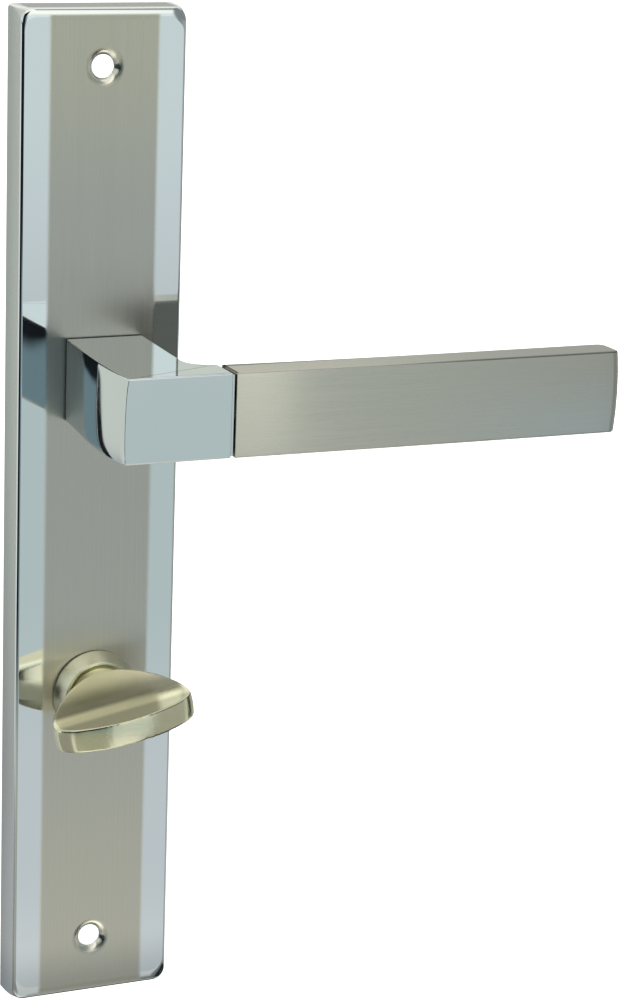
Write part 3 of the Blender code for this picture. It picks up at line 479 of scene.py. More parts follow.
class Nodes:
    """Adds nodes to a material's or the world's tree."""

    def __init__(self, tree):
        self.tree = tree

    def add(self, kind, settings=None, inputs=None):
        node = self.tree.nodes.new(kind)
        for name, value in (settings or {}).items():
            setattr(node, name, value)
        for name, value in (inputs or {}).items():
            self.set(node.inputs[name], value)
        return node

    def set(self, socket, value):
        if isinstance(value, bpy.types.NodeSocket):
            self.tree.links.new(value, socket)
        elif socket.type == "RGBA" and len(value) == 3:
            socket.default_value = (*value, 1.0)
        else:
            socket.default_value = value

    def math(self, operation, *values, clamp=False):
        node = self.add("ShaderNodeMath", {"operation": operation, "use_clamp": clamp})
        for i, value in enumerate(values):
            self.set(node.inputs[i], value)
        return node.outputs[0]

    def step(self, value, low, high, to_min=0.0, to_max=1.0):
        node = self.add("ShaderNodeMapRange", {"interpolation_type": "SMOOTHSTEP"})
        for name, given in (("Value", value), ("From Min", low), ("From Max", high),
                            ("To Min", to_min), ("To Max", to_max)):
            self.set(node.inputs[name], given)
        return node.outputs["Result"]

    def rise(self, value, limits):
        """0 below the first limit and 1 above the second."""
        return self.step(value, *limits)

    def fall(self, value, limits):
        """1 below the first limit and 0 above the second."""
        return self.step(value, *limits, 1.0, 0.0)

    def both(self, first, second):
        return self.math("MULTIPLY", first, second)

    def window(self, value, low, high, soft):
        """1 between low and high, and falling to 0 over a soft stretch outside them."""
        return self.both(self.rise(value, (low - soft, low)), self.fall(value, (high, high + soft)))

    def mix(self, factor, first, second, blend="MIX"):
        node = self.add("ShaderNodeMix", {"data_type": "RGBA", "blend_type": blend})
        self.set(node.inputs[0], factor)
        self.set(node.inputs[6], first)
        self.set(node.inputs[7], second)
        return node.outputs[2]

    def tint(self, factor, colour, tint):
        return self.mix(factor, colour, self.mix(1.0, colour, tint, "MULTIPLY"))

    def blend(self, factor, first, second):
        node = self.add("ShaderNodeMix", {"data_type": "FLOAT"})
        self.set(node.inputs[0], factor)
        self.set(node.inputs[2], first)
        self.set(node.inputs[3], second)
        return node.outputs[0]

    def noise(self, coordinates, scale, detail=2.0, roughness=0.5):
        """Noise whose grains are scale times finer along each axis."""
        mapping = self.add("ShaderNodeMapping", {}, {"Vector": coordinates, "Scale": scale})
        node = self.add("ShaderNodeTexNoise", {}, {"Vector": mapping.outputs[0], "Scale": 1.0,
                                                   "Detail": detail, "Roughness": roughness})
        return node.outputs["Fac"]

    def bump(self, height, distance, strength=1.0):
        node = self.add("ShaderNodeBump", {},
                        {"Height": height, "Distance": distance, "Strength": strength})
        return node.outputs["Normal"]

    def across(self, direction):
        """The tangent that spreads highlights across brushing that runs in a direction of the object."""
        turned = self.add("ShaderNodeVectorTransform", {"convert_from": "OBJECT", "convert_to": "WORLD"},
                          {"Vector": direction}).outputs[0]
        normal = self.add("ShaderNodeNewGeometry").outputs["Normal"]
        cross = self.add("ShaderNodeVectorMath", {"operation": "CROSS_PRODUCT"})
        self.set(cross.inputs[0], turned)
        self.set(cross.inputs[1], normal)
        return cross.outputs[0]


def new_material(name, colour, roughness, metallic=1.0):
    material = bpy.data.materials.new(name)
    material.use_nodes = True
    nodes = Nodes(material.node_tree)
    shader = material.node_tree.nodes["Principled BSDF"]
    nodes.set(shader.inputs["Base Color"], colour)
    nodes.set(shader.inputs["Roughness"], roughness)
    nodes.set(shader.inputs["Metallic"], metallic)
    place = nodes.add("ShaderNodeTexCoord").outputs["Object"]
    return material, nodes, shader, place


def separate(nodes, vector):
    node = nodes.add("ShaderNodeSeparateXYZ", {}, {0: vector})
    return node.outputs


# Finishes

def streaks(nodes, fine, broad, share):
    """Brushing: fine lines over broad ones."""
    rest = nodes.math("MULTIPLY", broad, 1.0 - share)
    return nodes.math("ADD", nodes.math("MULTIPLY", fine, share), rest)


def shades(nodes, streak, colour, dark, light):
    """The colour along the streaks, between a darker and a lighter one."""
    factor = nodes.step(streak, 0.32, 0.68)
    return nodes.mix(factor, [c * dark for c in colour], [c * light for c in colour])


def plate_masks(nodes, x, y, z):
    """Factors for the plate's brushed band, side walls, end walls and cast inside."""
    side = nodes.math("ABSOLUTE", x)
    band_end = nodes.step(z, *BAND_END_Z, *BAND_END_Y)
    front = nodes.fall(y, (band_end, nodes.math("ADD", band_end, BAND_END_FADE)))
    dimples = nodes.both(nodes.fall(y, BAND_BACK_Y), nodes.window(z, *BAND_SPAN_Z, BAND_SPAN_FADE))
    band = nodes.both(nodes.fall(side, BAND_X), nodes.math("MAXIMUM", front, dimples))
    wall_front = nodes.step(z, *WALL_FRONT_Z, *WALL_FRONT_Y)
    walls = nodes.both(nodes.rise(y, (wall_front, nodes.math("ADD", wall_front, WALL_FRONT_FADE))),
                       nodes.rise(side, WALL_X))
    ends = nodes.math("MAXIMUM", nodes.rise(z, END_TOP_Z), nodes.fall(z, END_FOOT_Z))
    ends = nodes.both(ends, nodes.rise(y, END_Y))
    inside = nodes.both(nodes.fall(side, CAST_X), nodes.rise(y, CAST_Y))
    return band, walls, ends, inside


def plate_finish():
    """Brushed middle band between polished side bands, satin walls and a plain cast inside, with painted
    light and shade: the band lighter near its top and low down, the walls darker towards the door, a darker
    foot and a dark reflection line along the foot's front edge.
    """
    material, nodes, shader, place = new_material("plate_finish", CHROME, CHROME_ROUGHNESS)
    x, y, z = separate(nodes, place)
    band, walls, ends, inside = plate_masks(nodes, x, y, z)
    dimple = nodes.rise(y, DIMPLE_Y)
    lines = nodes.noise(place, BAND_GRAIN, 3.0, 0.6)
    streak = streaks(nodes, lines, nodes.noise(place, BAND_STREAKS, 2.0), 0.7)

    nickel = shades(nodes, streak, NICKEL, 0.93, 1.05)
    # Painted light: the band is lighter near its top and low down
    painted_light_and_shade = nodes.mix(nodes.rise(z, BAND_TOP_Z), (1.0, 1.0, 1.0), BAND_TOP_PAINTED_LIGHT)
    painted_light_and_shade = nodes.mix(nodes.fall(z, BAND_LOW_Z), painted_light_and_shade, BAND_LOW_PAINTED_LIGHT)
    nickel = nodes.mix(1.0, nickel, painted_light_and_shade, "MULTIPLY")
    nickel = nodes.mix(dimple, nickel, DIMPLE_NICKEL)
    # Painted shade: the side walls darken towards the door
    wall = nodes.mix(nodes.rise(y, WALL_SHADE_Y), *WALL_PAINTED_SHADE_COLOURS)
    # Painted dark reflection line along the foot's front edge
    foot = nodes.both(nodes.fall(z, FOOT_LINE_Z), nodes.fall(y, FOOT_LINE_Y))
    cast = nodes.mix(nodes.noise(place, (900.0, 900.0, 900.0), 3.0), *CAST_COLOURS)
    colour = nodes.mix(band, CHROME, nickel)
    colour = nodes.mix(walls, colour, wall)
    colour = nodes.mix(ends, colour, END_COLOUR)
    # Painted shade: the plate darkens towards its foot
    colour = nodes.tint(nodes.fall(z, FOOT_SHADE_Z), colour, FOOT_PAINTED_SHADE)
    colour = nodes.mix(foot, colour, FOOT_PAINTED_REFLECTION_LINE)
    colour = nodes.mix(inside, colour, cast)
    nodes.set(shader.inputs["Base Color"], colour)

    brushed = nodes.blend(dimple, nodes.step(streak, 0.3, 0.7, *BAND_ROUGHNESS), DIMPLE_ROUGHNESS)
    rough = nodes.blend(band, CHROME_ROUGHNESS, brushed)
    rough = nodes.blend(walls, rough, WALL_ROUGHNESS)
    rough = nodes.blend(ends, rough, END_ROUGHNESS)
    rough = nodes.blend(inside, rough, CAST_ROUGHNESS)
    nodes.set(shader.inputs["Roughness"], rough)
    shader.inputs["Anisotropic"].default_value = 0.85
    nodes.set(shader.inputs["Tangent"], nodes.across((0.0, 0.0, 1.0)))

    grain = nodes.noise(place, (1500.0, 1500.0, 1500.0), 3.0)
    height = nodes.math("ADD", nodes.math("MULTIPLY", nodes.both(lines, band), 0.6),
                        nodes.math("MULTIPLY", nodes.both(grain, inside), 6.0))
    nodes.set(shader.inputs["Normal"], nodes.bump(height, 0.004 * MM, 0.5))
    return material


def chrome_finish():
    """Polished, but duller and darkened by painted shade on the back of the arm, with a painted contact
    shadow at the neck's root.
    """
    material, nodes, shader, place = new_material("chrome_finish", CHROME, CHROME_ROUGHNESS)
    x, y, _ = separate(nodes, place)
    haze = nodes.noise(place, (160.0, 160.0, 160.0), 3.0)
    fine = nodes.noise(place, (2600.0, 2600.0, 2600.0), 2.0)
    back = nodes.both(nodes.rise(x, ARM_BACK_X), nodes.rise(y, ARM_BACK_Y))
    colour = nodes.mix(haze, [c * 0.98 for c in CHROME], CHROME)
    # Painted shade: the back of the arm is darker as well as duller
    colour = nodes.mix(back, colour, ARM_BACK_PAINTED_SHADE)
    # Painted contact shadow in the joint at the neck's root
    colour = nodes.mix(nodes.rise(y, NECK_ROOT_Y), colour, NECK_ROOT_PAINTED_SHADOW)
    nodes.set(shader.inputs["Base Color"], colour)
    polished = nodes.step(haze, 0.3, 0.75, 0.03, 0.07)
    nodes.set(shader.inputs["Roughness"], nodes.blend(back, polished, ARM_BACK_ROUGHNESS))
    nodes.set(shader.inputs["Normal"], nodes.bump(fine, 0.0004 * MM, 0.4))
    return material


def satin_finish(name, base, brushing, roughness, anisotropic=0.8):
    """Nickel brushed along x. Its nodes and colour are returned too, for a finish that adds to them."""
    material, nodes, shader, place = new_material(name, base, roughness)
    lines = nodes.noise(place, brushing, 3.0, 0.6)
    streak = streaks(nodes, lines, nodes.noise(place, [s * 0.12 for s in brushing], 2.0), 0.65)
    colour = shades(nodes, streak, base, 0.94, 1.04)
    nodes.set(shader.inputs["Base Color"], colour)
    nodes.set(shader.inputs["Roughness"], nodes.step(streak, 0.3, 0.7, roughness - 0.04, roughness + 0.05))
    shader.inputs["Anisotropic"].default_value = anisotropic
    nodes.set(shader.inputs["Tangent"], nodes.across((1.0, 0.0, 0.0)))
    nodes.set(shader.inputs["Normal"], nodes.bump(lines, 0.003 * MM, 0.5))
    return material, nodes, shader, place, colour


def knob_finish():
    """Brushed nickel, with painted reflections in bands along the depth of the finger scoops: lighter at
    the back, then a dark band, a highlight band and a darker band towards the lip.
    """
    material, nodes, shader, place, colour = satin_finish("knob_finish", TURN_NICKEL, KNOB_GRAIN, 0.18, 0.3)
    x, y, z = separate(nodes, place)
    depth = nodes.math("MULTIPLY", y, -1.0)
    upright = nodes.math("MULTIPLY", nodes.math("SUBTRACT", z, TURN_HEIGHT), math.cos(TURN_TILT))
    sideways = nodes.math("MULTIPLY", x, math.sin(TURN_TILT))
    height = nodes.math("ABSOLUTE", nodes.math("SUBTRACT", upright, sideways))
    # Painted reflections: the scoops are darkened and lightened in bands along their depth
    painted_light_and_shade = SCOOP_BACK_PAINTED_LIGHT
    for start, end, value in SCOOP_PAINTED_REFLECTIONS:
        painted_light_and_shade = nodes.blend(nodes.rise(depth, (start, end)), painted_light_and_shade, value)
    painted_light_and_shade = nodes.blend(nodes.rise(height, SCOOP_HEIGHT), 1.0, painted_light_and_shade)
    nodes.set(shader.inputs["Base Color"], nodes.mix(1.0, colour, painted_light_and_shade, "MULTIPLY"))
    return material


def grip_finish():
    """Brushed nickel, with a painted cool reflection towards the end, a painted dark reflection along the
    top and by the top front edge, and painted shade on the back.
    """
    material, nodes, shader, place, colour = satin_finish("grip_finish", GRIP_NICKEL, GRIP_GRAIN, 0.30)
    x, y, z = separate(nodes, place)
    below_top = nodes.math("SUBTRACT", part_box("lever_grip")[1].z, z)
    # Painted cool reflection towards the end and low down
    cool = nodes.both(nodes.rise(x, GRIP_COOL_X), nodes.fall(z, GRIP_COOL_Z))
    colour = nodes.tint(cool, colour, GRIP_PAINTED_COOL_REFLECTION)
    # Painted darker, cooler reflection along the grip's top
    upper = nodes.both(nodes.rise(x, GRIP_TOP_X), nodes.fall(below_top, GRIP_TOP_BELOW))
    colour = nodes.tint(upper, colour, GRIP_TOP_PAINTED_DARK_REFLECTION)
    # Painted dark reflection line by the grip's top front edge
    line = nodes.both(nodes.fall(below_top, GRIP_LINE_BELOW), nodes.fall(y, GRIP_LINE_Y))
    line = nodes.both(line, nodes.rise(x, GRIP_LINE_X))
    colour = nodes.mix(line, colour, GRIP_PAINTED_REFLECTION_LINE)
    # Painted shade on the grip's back, which faces the door
    colour = nodes.mix(nodes.rise(y, GRIP_BACK_Y), colour, GRIP_BACK_PAINTED_SHADE)
    nodes.set(shader.inputs["Base Color"], colour)
    return material


def plain_finish(name, colour, roughness, metallic=1.0, grain=900.0, relief=0.01):
    """Small parts: plated, oiled or moulded, with a fine uneven grain."""
    material, nodes, shader, place = new_material(name, colour, roughness, metallic)
    fine = nodes.noise(place, (grain, grain, grain), 3.0)
    broad = nodes.noise(place, (140.0, 140.0, 140.0), 2.0)
    nodes.set(shader.inputs["Base Color"],
              nodes.mix(nodes.step(broad, 0.3, 0.7), [c * 0.85 for c in colour], colour))
    nodes.set(shader.inputs["Roughness"], nodes.step(fine, 0.3, 0.7, roughness - 0.06, roughness + 0.08))
    nodes.set(shader.inputs["Normal"], nodes.bump(fine, relief * MM, 0.4))
    return material


# Pieces

def plate_ring(depth, side_inset, end_inset, radius, steps):
    low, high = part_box("backplate")
    right = high.x - side_inset
    top = high.z - end_inset
    bottom = low.z + end_inset
    points = arc((right - radius, top - radius), radius, 0, 90, steps)
    points += arc((-right + radius, top - radius), radius, 90, 180, steps)
    points += arc((-right + radius, bottom + radius), radius, 180, 270, steps)
    points += arc((right - radius, bottom + radius), radius, 270, 360, steps)
    return [(x, -depth, z) for x, z in points]


def dimpled_hole(name, height):
    """What a fixing hole takes away: a soft dimple in the front wall and a round hole through it."""
    front = -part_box("backplate")[0].y
    profile = [(0.0, front + CUT), (DIMPLE_RADIUS + GAP, front + CUT)]
    for step in range(DIMPLE_STEPS + 1):
        t = (1 + DIMPLE_OVERRUN) * (1 - step / DIMPLE_STEPS)
        radius = HOLE_RADIUS + (DIMPLE_RADIUS - HOLE_RADIUS) * t
        rise = DIMPLE_OVERRUN_RISE * max(0.0, t - 1.0)
        profile.append((radius, front - DIMPLE_DEPTH * (1 - min(t, 1.0)) ** 2.0 + rise))
    profile += [(HOLE_RADIUS, front - PLATE_FRONT_WALL - CUT), (0.0, front - PLATE_FRONT_WALL - CUT)]
    return lathe(name, profile, height)


def plate_rings(front):
    """The plate's outlines: leaning walls, then the rounded edge. It eases into the front at the ends."""
    edge_start = front - PLATE_EDGE_DEPTH
    rings = []
    for step in range(PLATE_WALL_STEPS + 1):
        share = math.sin(math.radians(90 * step / PLATE_WALL_STEPS))
        inset = PLATE_DRAFT * share
        growth = (PLATE_EDGE_CORNER - PLATE_BACK_CORNER) * share ** PLATE_CORNER_POWER
        rings.append(plate_ring(edge_start * share, inset, inset, PLATE_BACK_CORNER + growth,
                                PLATE_CORNER_STEPS))
    end = math.radians(PLATE_EDGE_END)
    ease_slope = PLATE_EDGE_DEPTH * math.cos(end) / (PLATE_END_RUN * math.sin(end))
    ease_rise = ease_slope * PLATE_EASE_RUN / 2
    round_rise = PLATE_EDGE_DEPTH - ease_rise
    edge = []
    for step in range(1, PLATE_EDGE_STEPS + 1):
        angle = end * step / PLATE_EDGE_STEPS
        edge.append((round_rise * math.sin(angle) / math.sin(end), PLATE_END_RUN * (1 - math.cos(angle))))
    for step in range(1, PLATE_EASE_STEPS + 1):
        share = step / PLATE_EASE_STEPS
        edge.append((PLATE_EDGE_DEPTH - ease_rise * (1 - share) ** 2,
                     PLATE_END_RUN * (1 - math.cos(end)) + PLATE_EASE_RUN * share))
    for rise, run in edge:
        part = rise / PLATE_EDGE_DEPTH
        side_run = PLATE_SIDE_RUN * (1 - math.sqrt(1 - min(1.0, part) ** 2))
        radius = PLATE_EDGE_CORNER + (PLATE_FRONT_CORNER - PLATE_EDGE_CORNER) * part
        rings.append(plate_ring(edge_start + rise, PLATE_DRAFT + side_run, PLATE_DRAFT + run, radius,
                                PLATE_CORNER_STEPS))
    return rings


def build_plate(material):
    front = -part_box("backplate")[0].y
    cavity = front - PLATE_FRONT_WALL
    plate = loft("plate_shell", plate_rings(front))
    cut(plate, loft("cavity", [plate_ring(depth, PLATE_SIDE_WALL, PLATE_SIDE_WALL, CAVITY_CORNER, 6)
                               for depth in (-CUT, cavity)]))
    join(plate, pipe("pocket", POCKET_INNER, POCKET_OUTER, (POCKET_BACK, cavity + SINK), FINE))
    for angle in STOP_ANGLES:
        radians = math.radians(angle)
        join(plate, disc("stop_post", STOP_RADIUS, (STOP_BACK, cavity + SINK),
                         STOP_ORBIT * math.cos(radians), STOP_ORBIT * math.sin(radians), 24))
    half_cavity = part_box("backplate")[1].x - PLATE_SIDE_WALL + SINK
    for height in RIB_HEIGHTS:
        join(plate, box("rib", (-half_cavity, half_cavity), (RIB_DEPTH, cavity + SINK),
                        (height, height + RIB_THICKNESS)))
    for height in (POST_HEIGHT, -POST_HEIGHT):
        join(plate, disc("screw_post", POST_RADIUS, (POCKET_BACK, cavity + SINK), z=height, steps=32))
        cut(plate, disc("screw_hole", POST_HOLE_RADIUS, (POCKET_BACK - CUT, POST_HOLE_FRONT), z=height,
                        steps=24))
    wall = (cavity - CUT, front + CUT)
    cut(plate, disc("lever_hole", LEVER_HOLE_RADIUS, wall, steps=FINE))
    cut(plate, disc("turn_hole", TURN_HOLE_RADIUS, wall, z=TURN_HEIGHT, steps=FINE))
    cut(plate, *[dimpled_hole("fixing_hole", height) for height in HOLE_HEIGHTS])
    plate.data.materials.append(material)
    shade(plate, BROAD_AREA)
    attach(plate, "plate")
    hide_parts("backplate")


def neck_bulge(z):
    """How far the neck's left face stands out at a height."""
    roll = abs(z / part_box("lever_body")[1].z) ** PILLOW_ROLL_POWER
    return PILLOW * (1 - ((z - PILLOW_CENTRE) / PILLOW_REACH) ** 2) - PILLOW_ROLL * roll


def lever_outline(z):
    """The polished part's (x, depth) points, clockwise seen with the depth up."""
    left = bezier(NECK_LEFT_START, NECK_LEFT_HANDLES, NECK_LEFT_WIDEST, 12)
    left += bezier(NECK_LEFT_WIDEST, ARM_LEFT_HANDLES, ARM_LEFT_END, 10)[1:]
    bulge = neck_bulge(z)
    moved = [(x - bulge * min(1.0, (depth - NECK_BACK) / PILLOW_RUN), depth) for x, depth in left]
    corner = rounded_corner(moved[-1], moved[-2], (BODY_END, ARM_FRONT), CORNER_EDGE)
    outline = moved[:-1] + corner
    outline += rounded_corner((BODY_END, ARM_FRONT), (0.0, ARM_FRONT), (BODY_END, ARM_BACK), CORNER_EDGE)
    outline += rounded_corner((BODY_END, ARM_BACK), (BODY_END, ARM_FRONT), (0.0, ARM_BACK), CORNER_EDGE)
    fillet = arc((NECK_RIGHT + ARM_FILLET - FILLET_INSET, ARM_BACK - ARM_FILLET), ARM_FILLET, 90, 180, 16)
    outline += fillet[1:]
    outline += [(NECK_RIGHT_AT_PLATE, NECK_BACK)]
    return outline


def hang_belly(body, half_height):
    """Lets the lower edge of the neck's left face hang a little lower, most of all halfway along."""
    for vertex in body.data.vertices:
        x, y, z = vertex.co
        if z < 0.0:
            along = min(1.0, max(0.0, (-y - BELLY_START) / (ARM_FRONT - BELLY_START)))
            across = min(1.0, max(0.0, (BELLY_RIGHT - x) / BELLY_WIDTH))
            hang = math.sin(math.pi * along ** BELLY_POWER) * across ** 2 * (-z / half_height) ** 3
            vertex.co.z -= BELLY * hang


def build_lever_body(material):
    half_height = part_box("lever_body")[1].z
    body = prism("lever_casting", lever_outline, half_height, LEVER_EDGE, levels=24)
    hang_belly(body, half_height)
    shoulder = box("shoulder", (BODY_END - SINK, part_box("lever_body")[1].x),
                   (ARM_BACK + SHOULDER_INSET, ARM_FRONT - SHOULDER_INSET),
                   (-half_height + SHOULDER_INSET, half_height - SHOULDER_INSET))
    join(body, shoulder)
    spigot_end = -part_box("lever_body")[1].y
    spigot = disc("spigot", SPIGOT_RADIUS, (spigot_end, NECK_BACK + SINK), steps=FINE)
    for side in (1, -1):
        heights = sorted((side * SPIGOT_FLAT, side * (SPIGOT_RADIUS + CUT)))
        cut(spigot, box("flat", (-SPIGOT_RADIUS - CUT, SPIGOT_RADIUS + CUT),
                        (spigot_end - CUT, SPIGOT_FLAT_START), heights))
    cut(spigot, pipe("circlip_groove", CIRCLIP_GROOVE_RADIUS, SPIGOT_RADIUS + CUT, CIRCLIP_GROOVE, FINE))
    join(body, spigot)
    cut(body, box("spindle_bore", (-SPINDLE_BORE, SPINDLE_BORE), (spigot_end - CUT, SPINDLE_BORE_FRONT),
                  (-SPINDLE_BORE, SPINDLE_BORE)))
    grub = arc((0.0, -GRUB_DEPTH), GRUB_BORE_RADIUS, 0, 360, 40)[:-1]
    cut(body, loft("grub_bore", [[(x, y, z) for x, y in grub]
                                 for z in (-half_height - CUT, -SPINDLE_BORE + CUT)]))
    body.data.materials.append(material)
    shade(body, LEVER_FLAT_AREA)
    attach(body, "lever")
    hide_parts("lever_body")


def grip_outline(z):
    low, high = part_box("lever_grip")
    start = low.x
    end = high.x + GRIP_END_EXTRA - GRIP_CROWN * (z / high.z) ** 2
    front_end = -low.y
    outline = []
    for step in range(GRIP_STEPS + 1):
        along = step / GRIP_STEPS
        rise = math.sin(math.radians(90 * along))
        outline.append((start + (end - start) * along,
                        GRIP_FRONT_START + (front_end - GRIP_FRONT_START) * rise))
    first = rounded_corner(outline[0], (start, GRIP_BACK_START), outline[1], CORNER_EDGE)
    last = rounded_corner(outline[-1], outline[-2], (end, GRIP_BACK_END), GRIP_END_CORNER, 8)
    tip = arc((end - GRIP_TIP_CORNER, GRIP_BACK_END + GRIP_TIP_CORNER), GRIP_TIP_CORNER, 0, -90, 10)
    bend, handle = [(end - run, GRIP_BACK_END - rise) for run, rise in (GRIP_BACK_RUN, GRIP_BACK_HANDLE)]
    back = bezier(bend, (handle, (start + GRIP_BACK_BEND, GRIP_BACK_MIDDLE)), (start, GRIP_BACK_START), 14)
    corner = rounded_corner(back[-1], back[-2], outline[0], CORNER_EDGE)
    return first + outline[1:-1] + last + tip + back[:-1] + corner


def build_grip(material):
    half_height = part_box("lever_grip")[1].z
    grip = prism("grip_bar", grip_outline, half_height, GRIP_EDGE, levels=6)
    grip.data.materials.append(material)
    shade(grip, BROAD_AREA)
    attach(grip, "lever")
    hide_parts("lever_grip")
    return grip


def build_collar(material):
    profile = [(COLLAR_RECESS_RADIUS, COLLAR_FRONT - COLLAR_EDGE),
               (COLLAR_RECESS_RADIUS + COLLAR_EDGE, COLLAR_FRONT)]
    profile += bezier((COLLAR_FRONT_RADIUS - COLLAR_ROUND[0], COLLAR_FRONT),
                      ((COLLAR_FRONT_RADIUS - COLLAR_EDGE / 2, COLLAR_FRONT),
                       (COLLAR_FRONT_RADIUS, COLLAR_FRONT - COLLAR_EDGE)),
                      (COLLAR_FRONT_RADIUS + COLLAR_SLOPE, COLLAR_FRONT - COLLAR_ROUND[1]), 4)
    profile += [(COLLAR_BASE_RADIUS, PLATE_FRONT + COLLAR_RIM), (COLLAR_BASE_RADIUS, PLATE_FRONT + GAP),
                (COLLAR_SPIGOT_RADIUS, PLATE_FRONT + GAP), (COLLAR_SPIGOT_RADIUS, COLLAR_SPIGOT_END),
                (COLLAR_BORE, COLLAR_SPIGOT_END), (COLLAR_BORE, COLLAR_RECESS),
                (COLLAR_RECESS_RADIUS, COLLAR_RECESS)]
    collar = lathe("collar_ring", profile, TURN_HEIGHT, closed=True)
    collar.data.materials.append(material)
    shade(collar, BROAD_AREA)
    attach(collar, "plate")
    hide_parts("turn_collar")


def knob_profile():
    """The domed front, the flare down to the stem, and the journal that turns in the collar."""
    profile = []
    for step in range(KNOB_DOME_STEPS + 1):
        angle = math.radians(90 / KNOB_DOME_STEPS * step)
        profile.append((KNOB_RADIUS * math.sin(angle),
                        KNOB_WIDEST + (KNOB_FRONT - KNOB_WIDEST) * math.cos(angle)))
    flare = bezier((KNOB_WIDEST, KNOB_RADIUS), FLARE_HANDLES, (FLARE_START, STEM_RADIUS), 16)
    profile += [(radius, depth) for depth, radius in flare[1:]]
    profile += [(STEM_RADIUS, STEM_BACK), (JOURNAL_RADIUS, STEM_BACK), (JOURNAL_RADIUS, TURN_GROOVE[1]),
                (TURN_GROOVE_RADIUS, TURN_GROOVE[1]), (TURN_GROOVE_RADIUS, TURN_GROOVE[0]),
                (JOURNAL_RADIUS, TURN_GROOVE[0]), (JOURNAL_RADIUS, JOURNAL_END), (0.0, JOURNAL_END)]
    return profile


def scoop(side):
    """What one finger scoop takes away. Its outline in (depth, height) runs along the blade."""
    curve = [SCOOP_START] + bezier(SCOOP_BEND, SCOOP_HANDLES, SCOOP_LIP, 20) + [SCOOP_END]
    points = curve + [(SCOOP_END[0], SCOOP_TOP), (SCOOP_START[0], SCOOP_TOP)]
    reach = KNOB_RADIUS + 2 * CUT
    return loft("scoop", [[(x, -depth, TURN_HEIGHT + side * height) for depth, height in points]
                          for x in (-reach, reach)])


def build_knob(material):
    knob = lathe("knob_blade", knob_profile(), TURN_HEIGHT)
    cut(knob, scoop(1), scoop(-1))
    cut(knob, box("knob_bore", (-TURN_BORE, TURN_BORE), (JOURNAL_END - CUT, TURN_BORE_FRONT),
                  (TURN_HEIGHT - TURN_BORE, TURN_HEIGHT + TURN_BORE)))
    remesh = knob.modifiers.new("Remesh", "REMESH")
    remesh.mode = "VOXEL"
    remesh.voxel_size = KNOB_VOXEL
    smooth = knob.modifiers.new("Smooth", "SMOOTH")
    smooth.iterations = 7
    smooth.factor = 0.5
    apply_modifiers(knob)
    turn = Matrix.Translation((0, 0, TURN_HEIGHT)) @ Matrix.Rotation(-TURN_TILT, 4, "Y")
    knob.data.transform(turn @ Matrix.Translation((0, 0, -TURN_HEIGHT)))
    knob.data.materials.append(material)
    knob.data.shade_smooth()
    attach(knob, "thumbturn")
    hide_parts("turn_knob")


def paint(material, *names):
    """A better finish on CAD nodes that stay as they are."""
    for name in names:
        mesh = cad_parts[name].data
        mesh.materials.clear()
        mesh.materials.append(material)


# Studio

def build_camera():
    azimuth = math.radians(CAMERA_AZIMUTH)
    elevation = math.radians(CAMERA_ELEVATION)
    back = Vector((math.sin(azimuth) * math.cos(elevation), -math.cos(azimuth) * math.cos(elevation),
                   math.sin(elevation)))
    data = bpy.data.cameras.new("camera")
    data.sensor_width = 36.0
    data.lens = CAMERA_LENS
    data.clip_start = 0.01
    camera = bpy.data.objects.new("camera", data)
    bpy.context.scene.collection.objects.link(camera)
    camera.rotation_mode = "QUATERNION"
    level = (-back).to_track_quat("-Z", "Y")
    roll = Matrix.Rotation(math.radians(CAMERA_ROLL), 3, "Z").to_quaternion()
    camera.rotation_quaternion = level @ roll
    camera.location = Vector(CAMERA_TARGET) + back * CAMERA_DISTANCE
    bpy.context.scene.camera = camera


def build_floor():
    bm = bmesh.new()
    bmesh.ops.create_grid(bm, x_segments=24, y_segments=24, size=FLOOR_SIZE)
    floor = new_piece("floor", bm)
    floor.location = (0.0, 0.0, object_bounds()[0].z - FLOOR_DROP)
    material, nodes, shader, _ = new_material("floor", (0.9, 0.9, 0.9), 0.9, 0.0)
    nodes.set(shader.inputs["Emission Color"], (1.0, 1.0, 1.0))
    shader.inputs["Emission Strength"].default_value = 0.9
    floor.data.materials.append(material)
    floor.visible_glossy = False


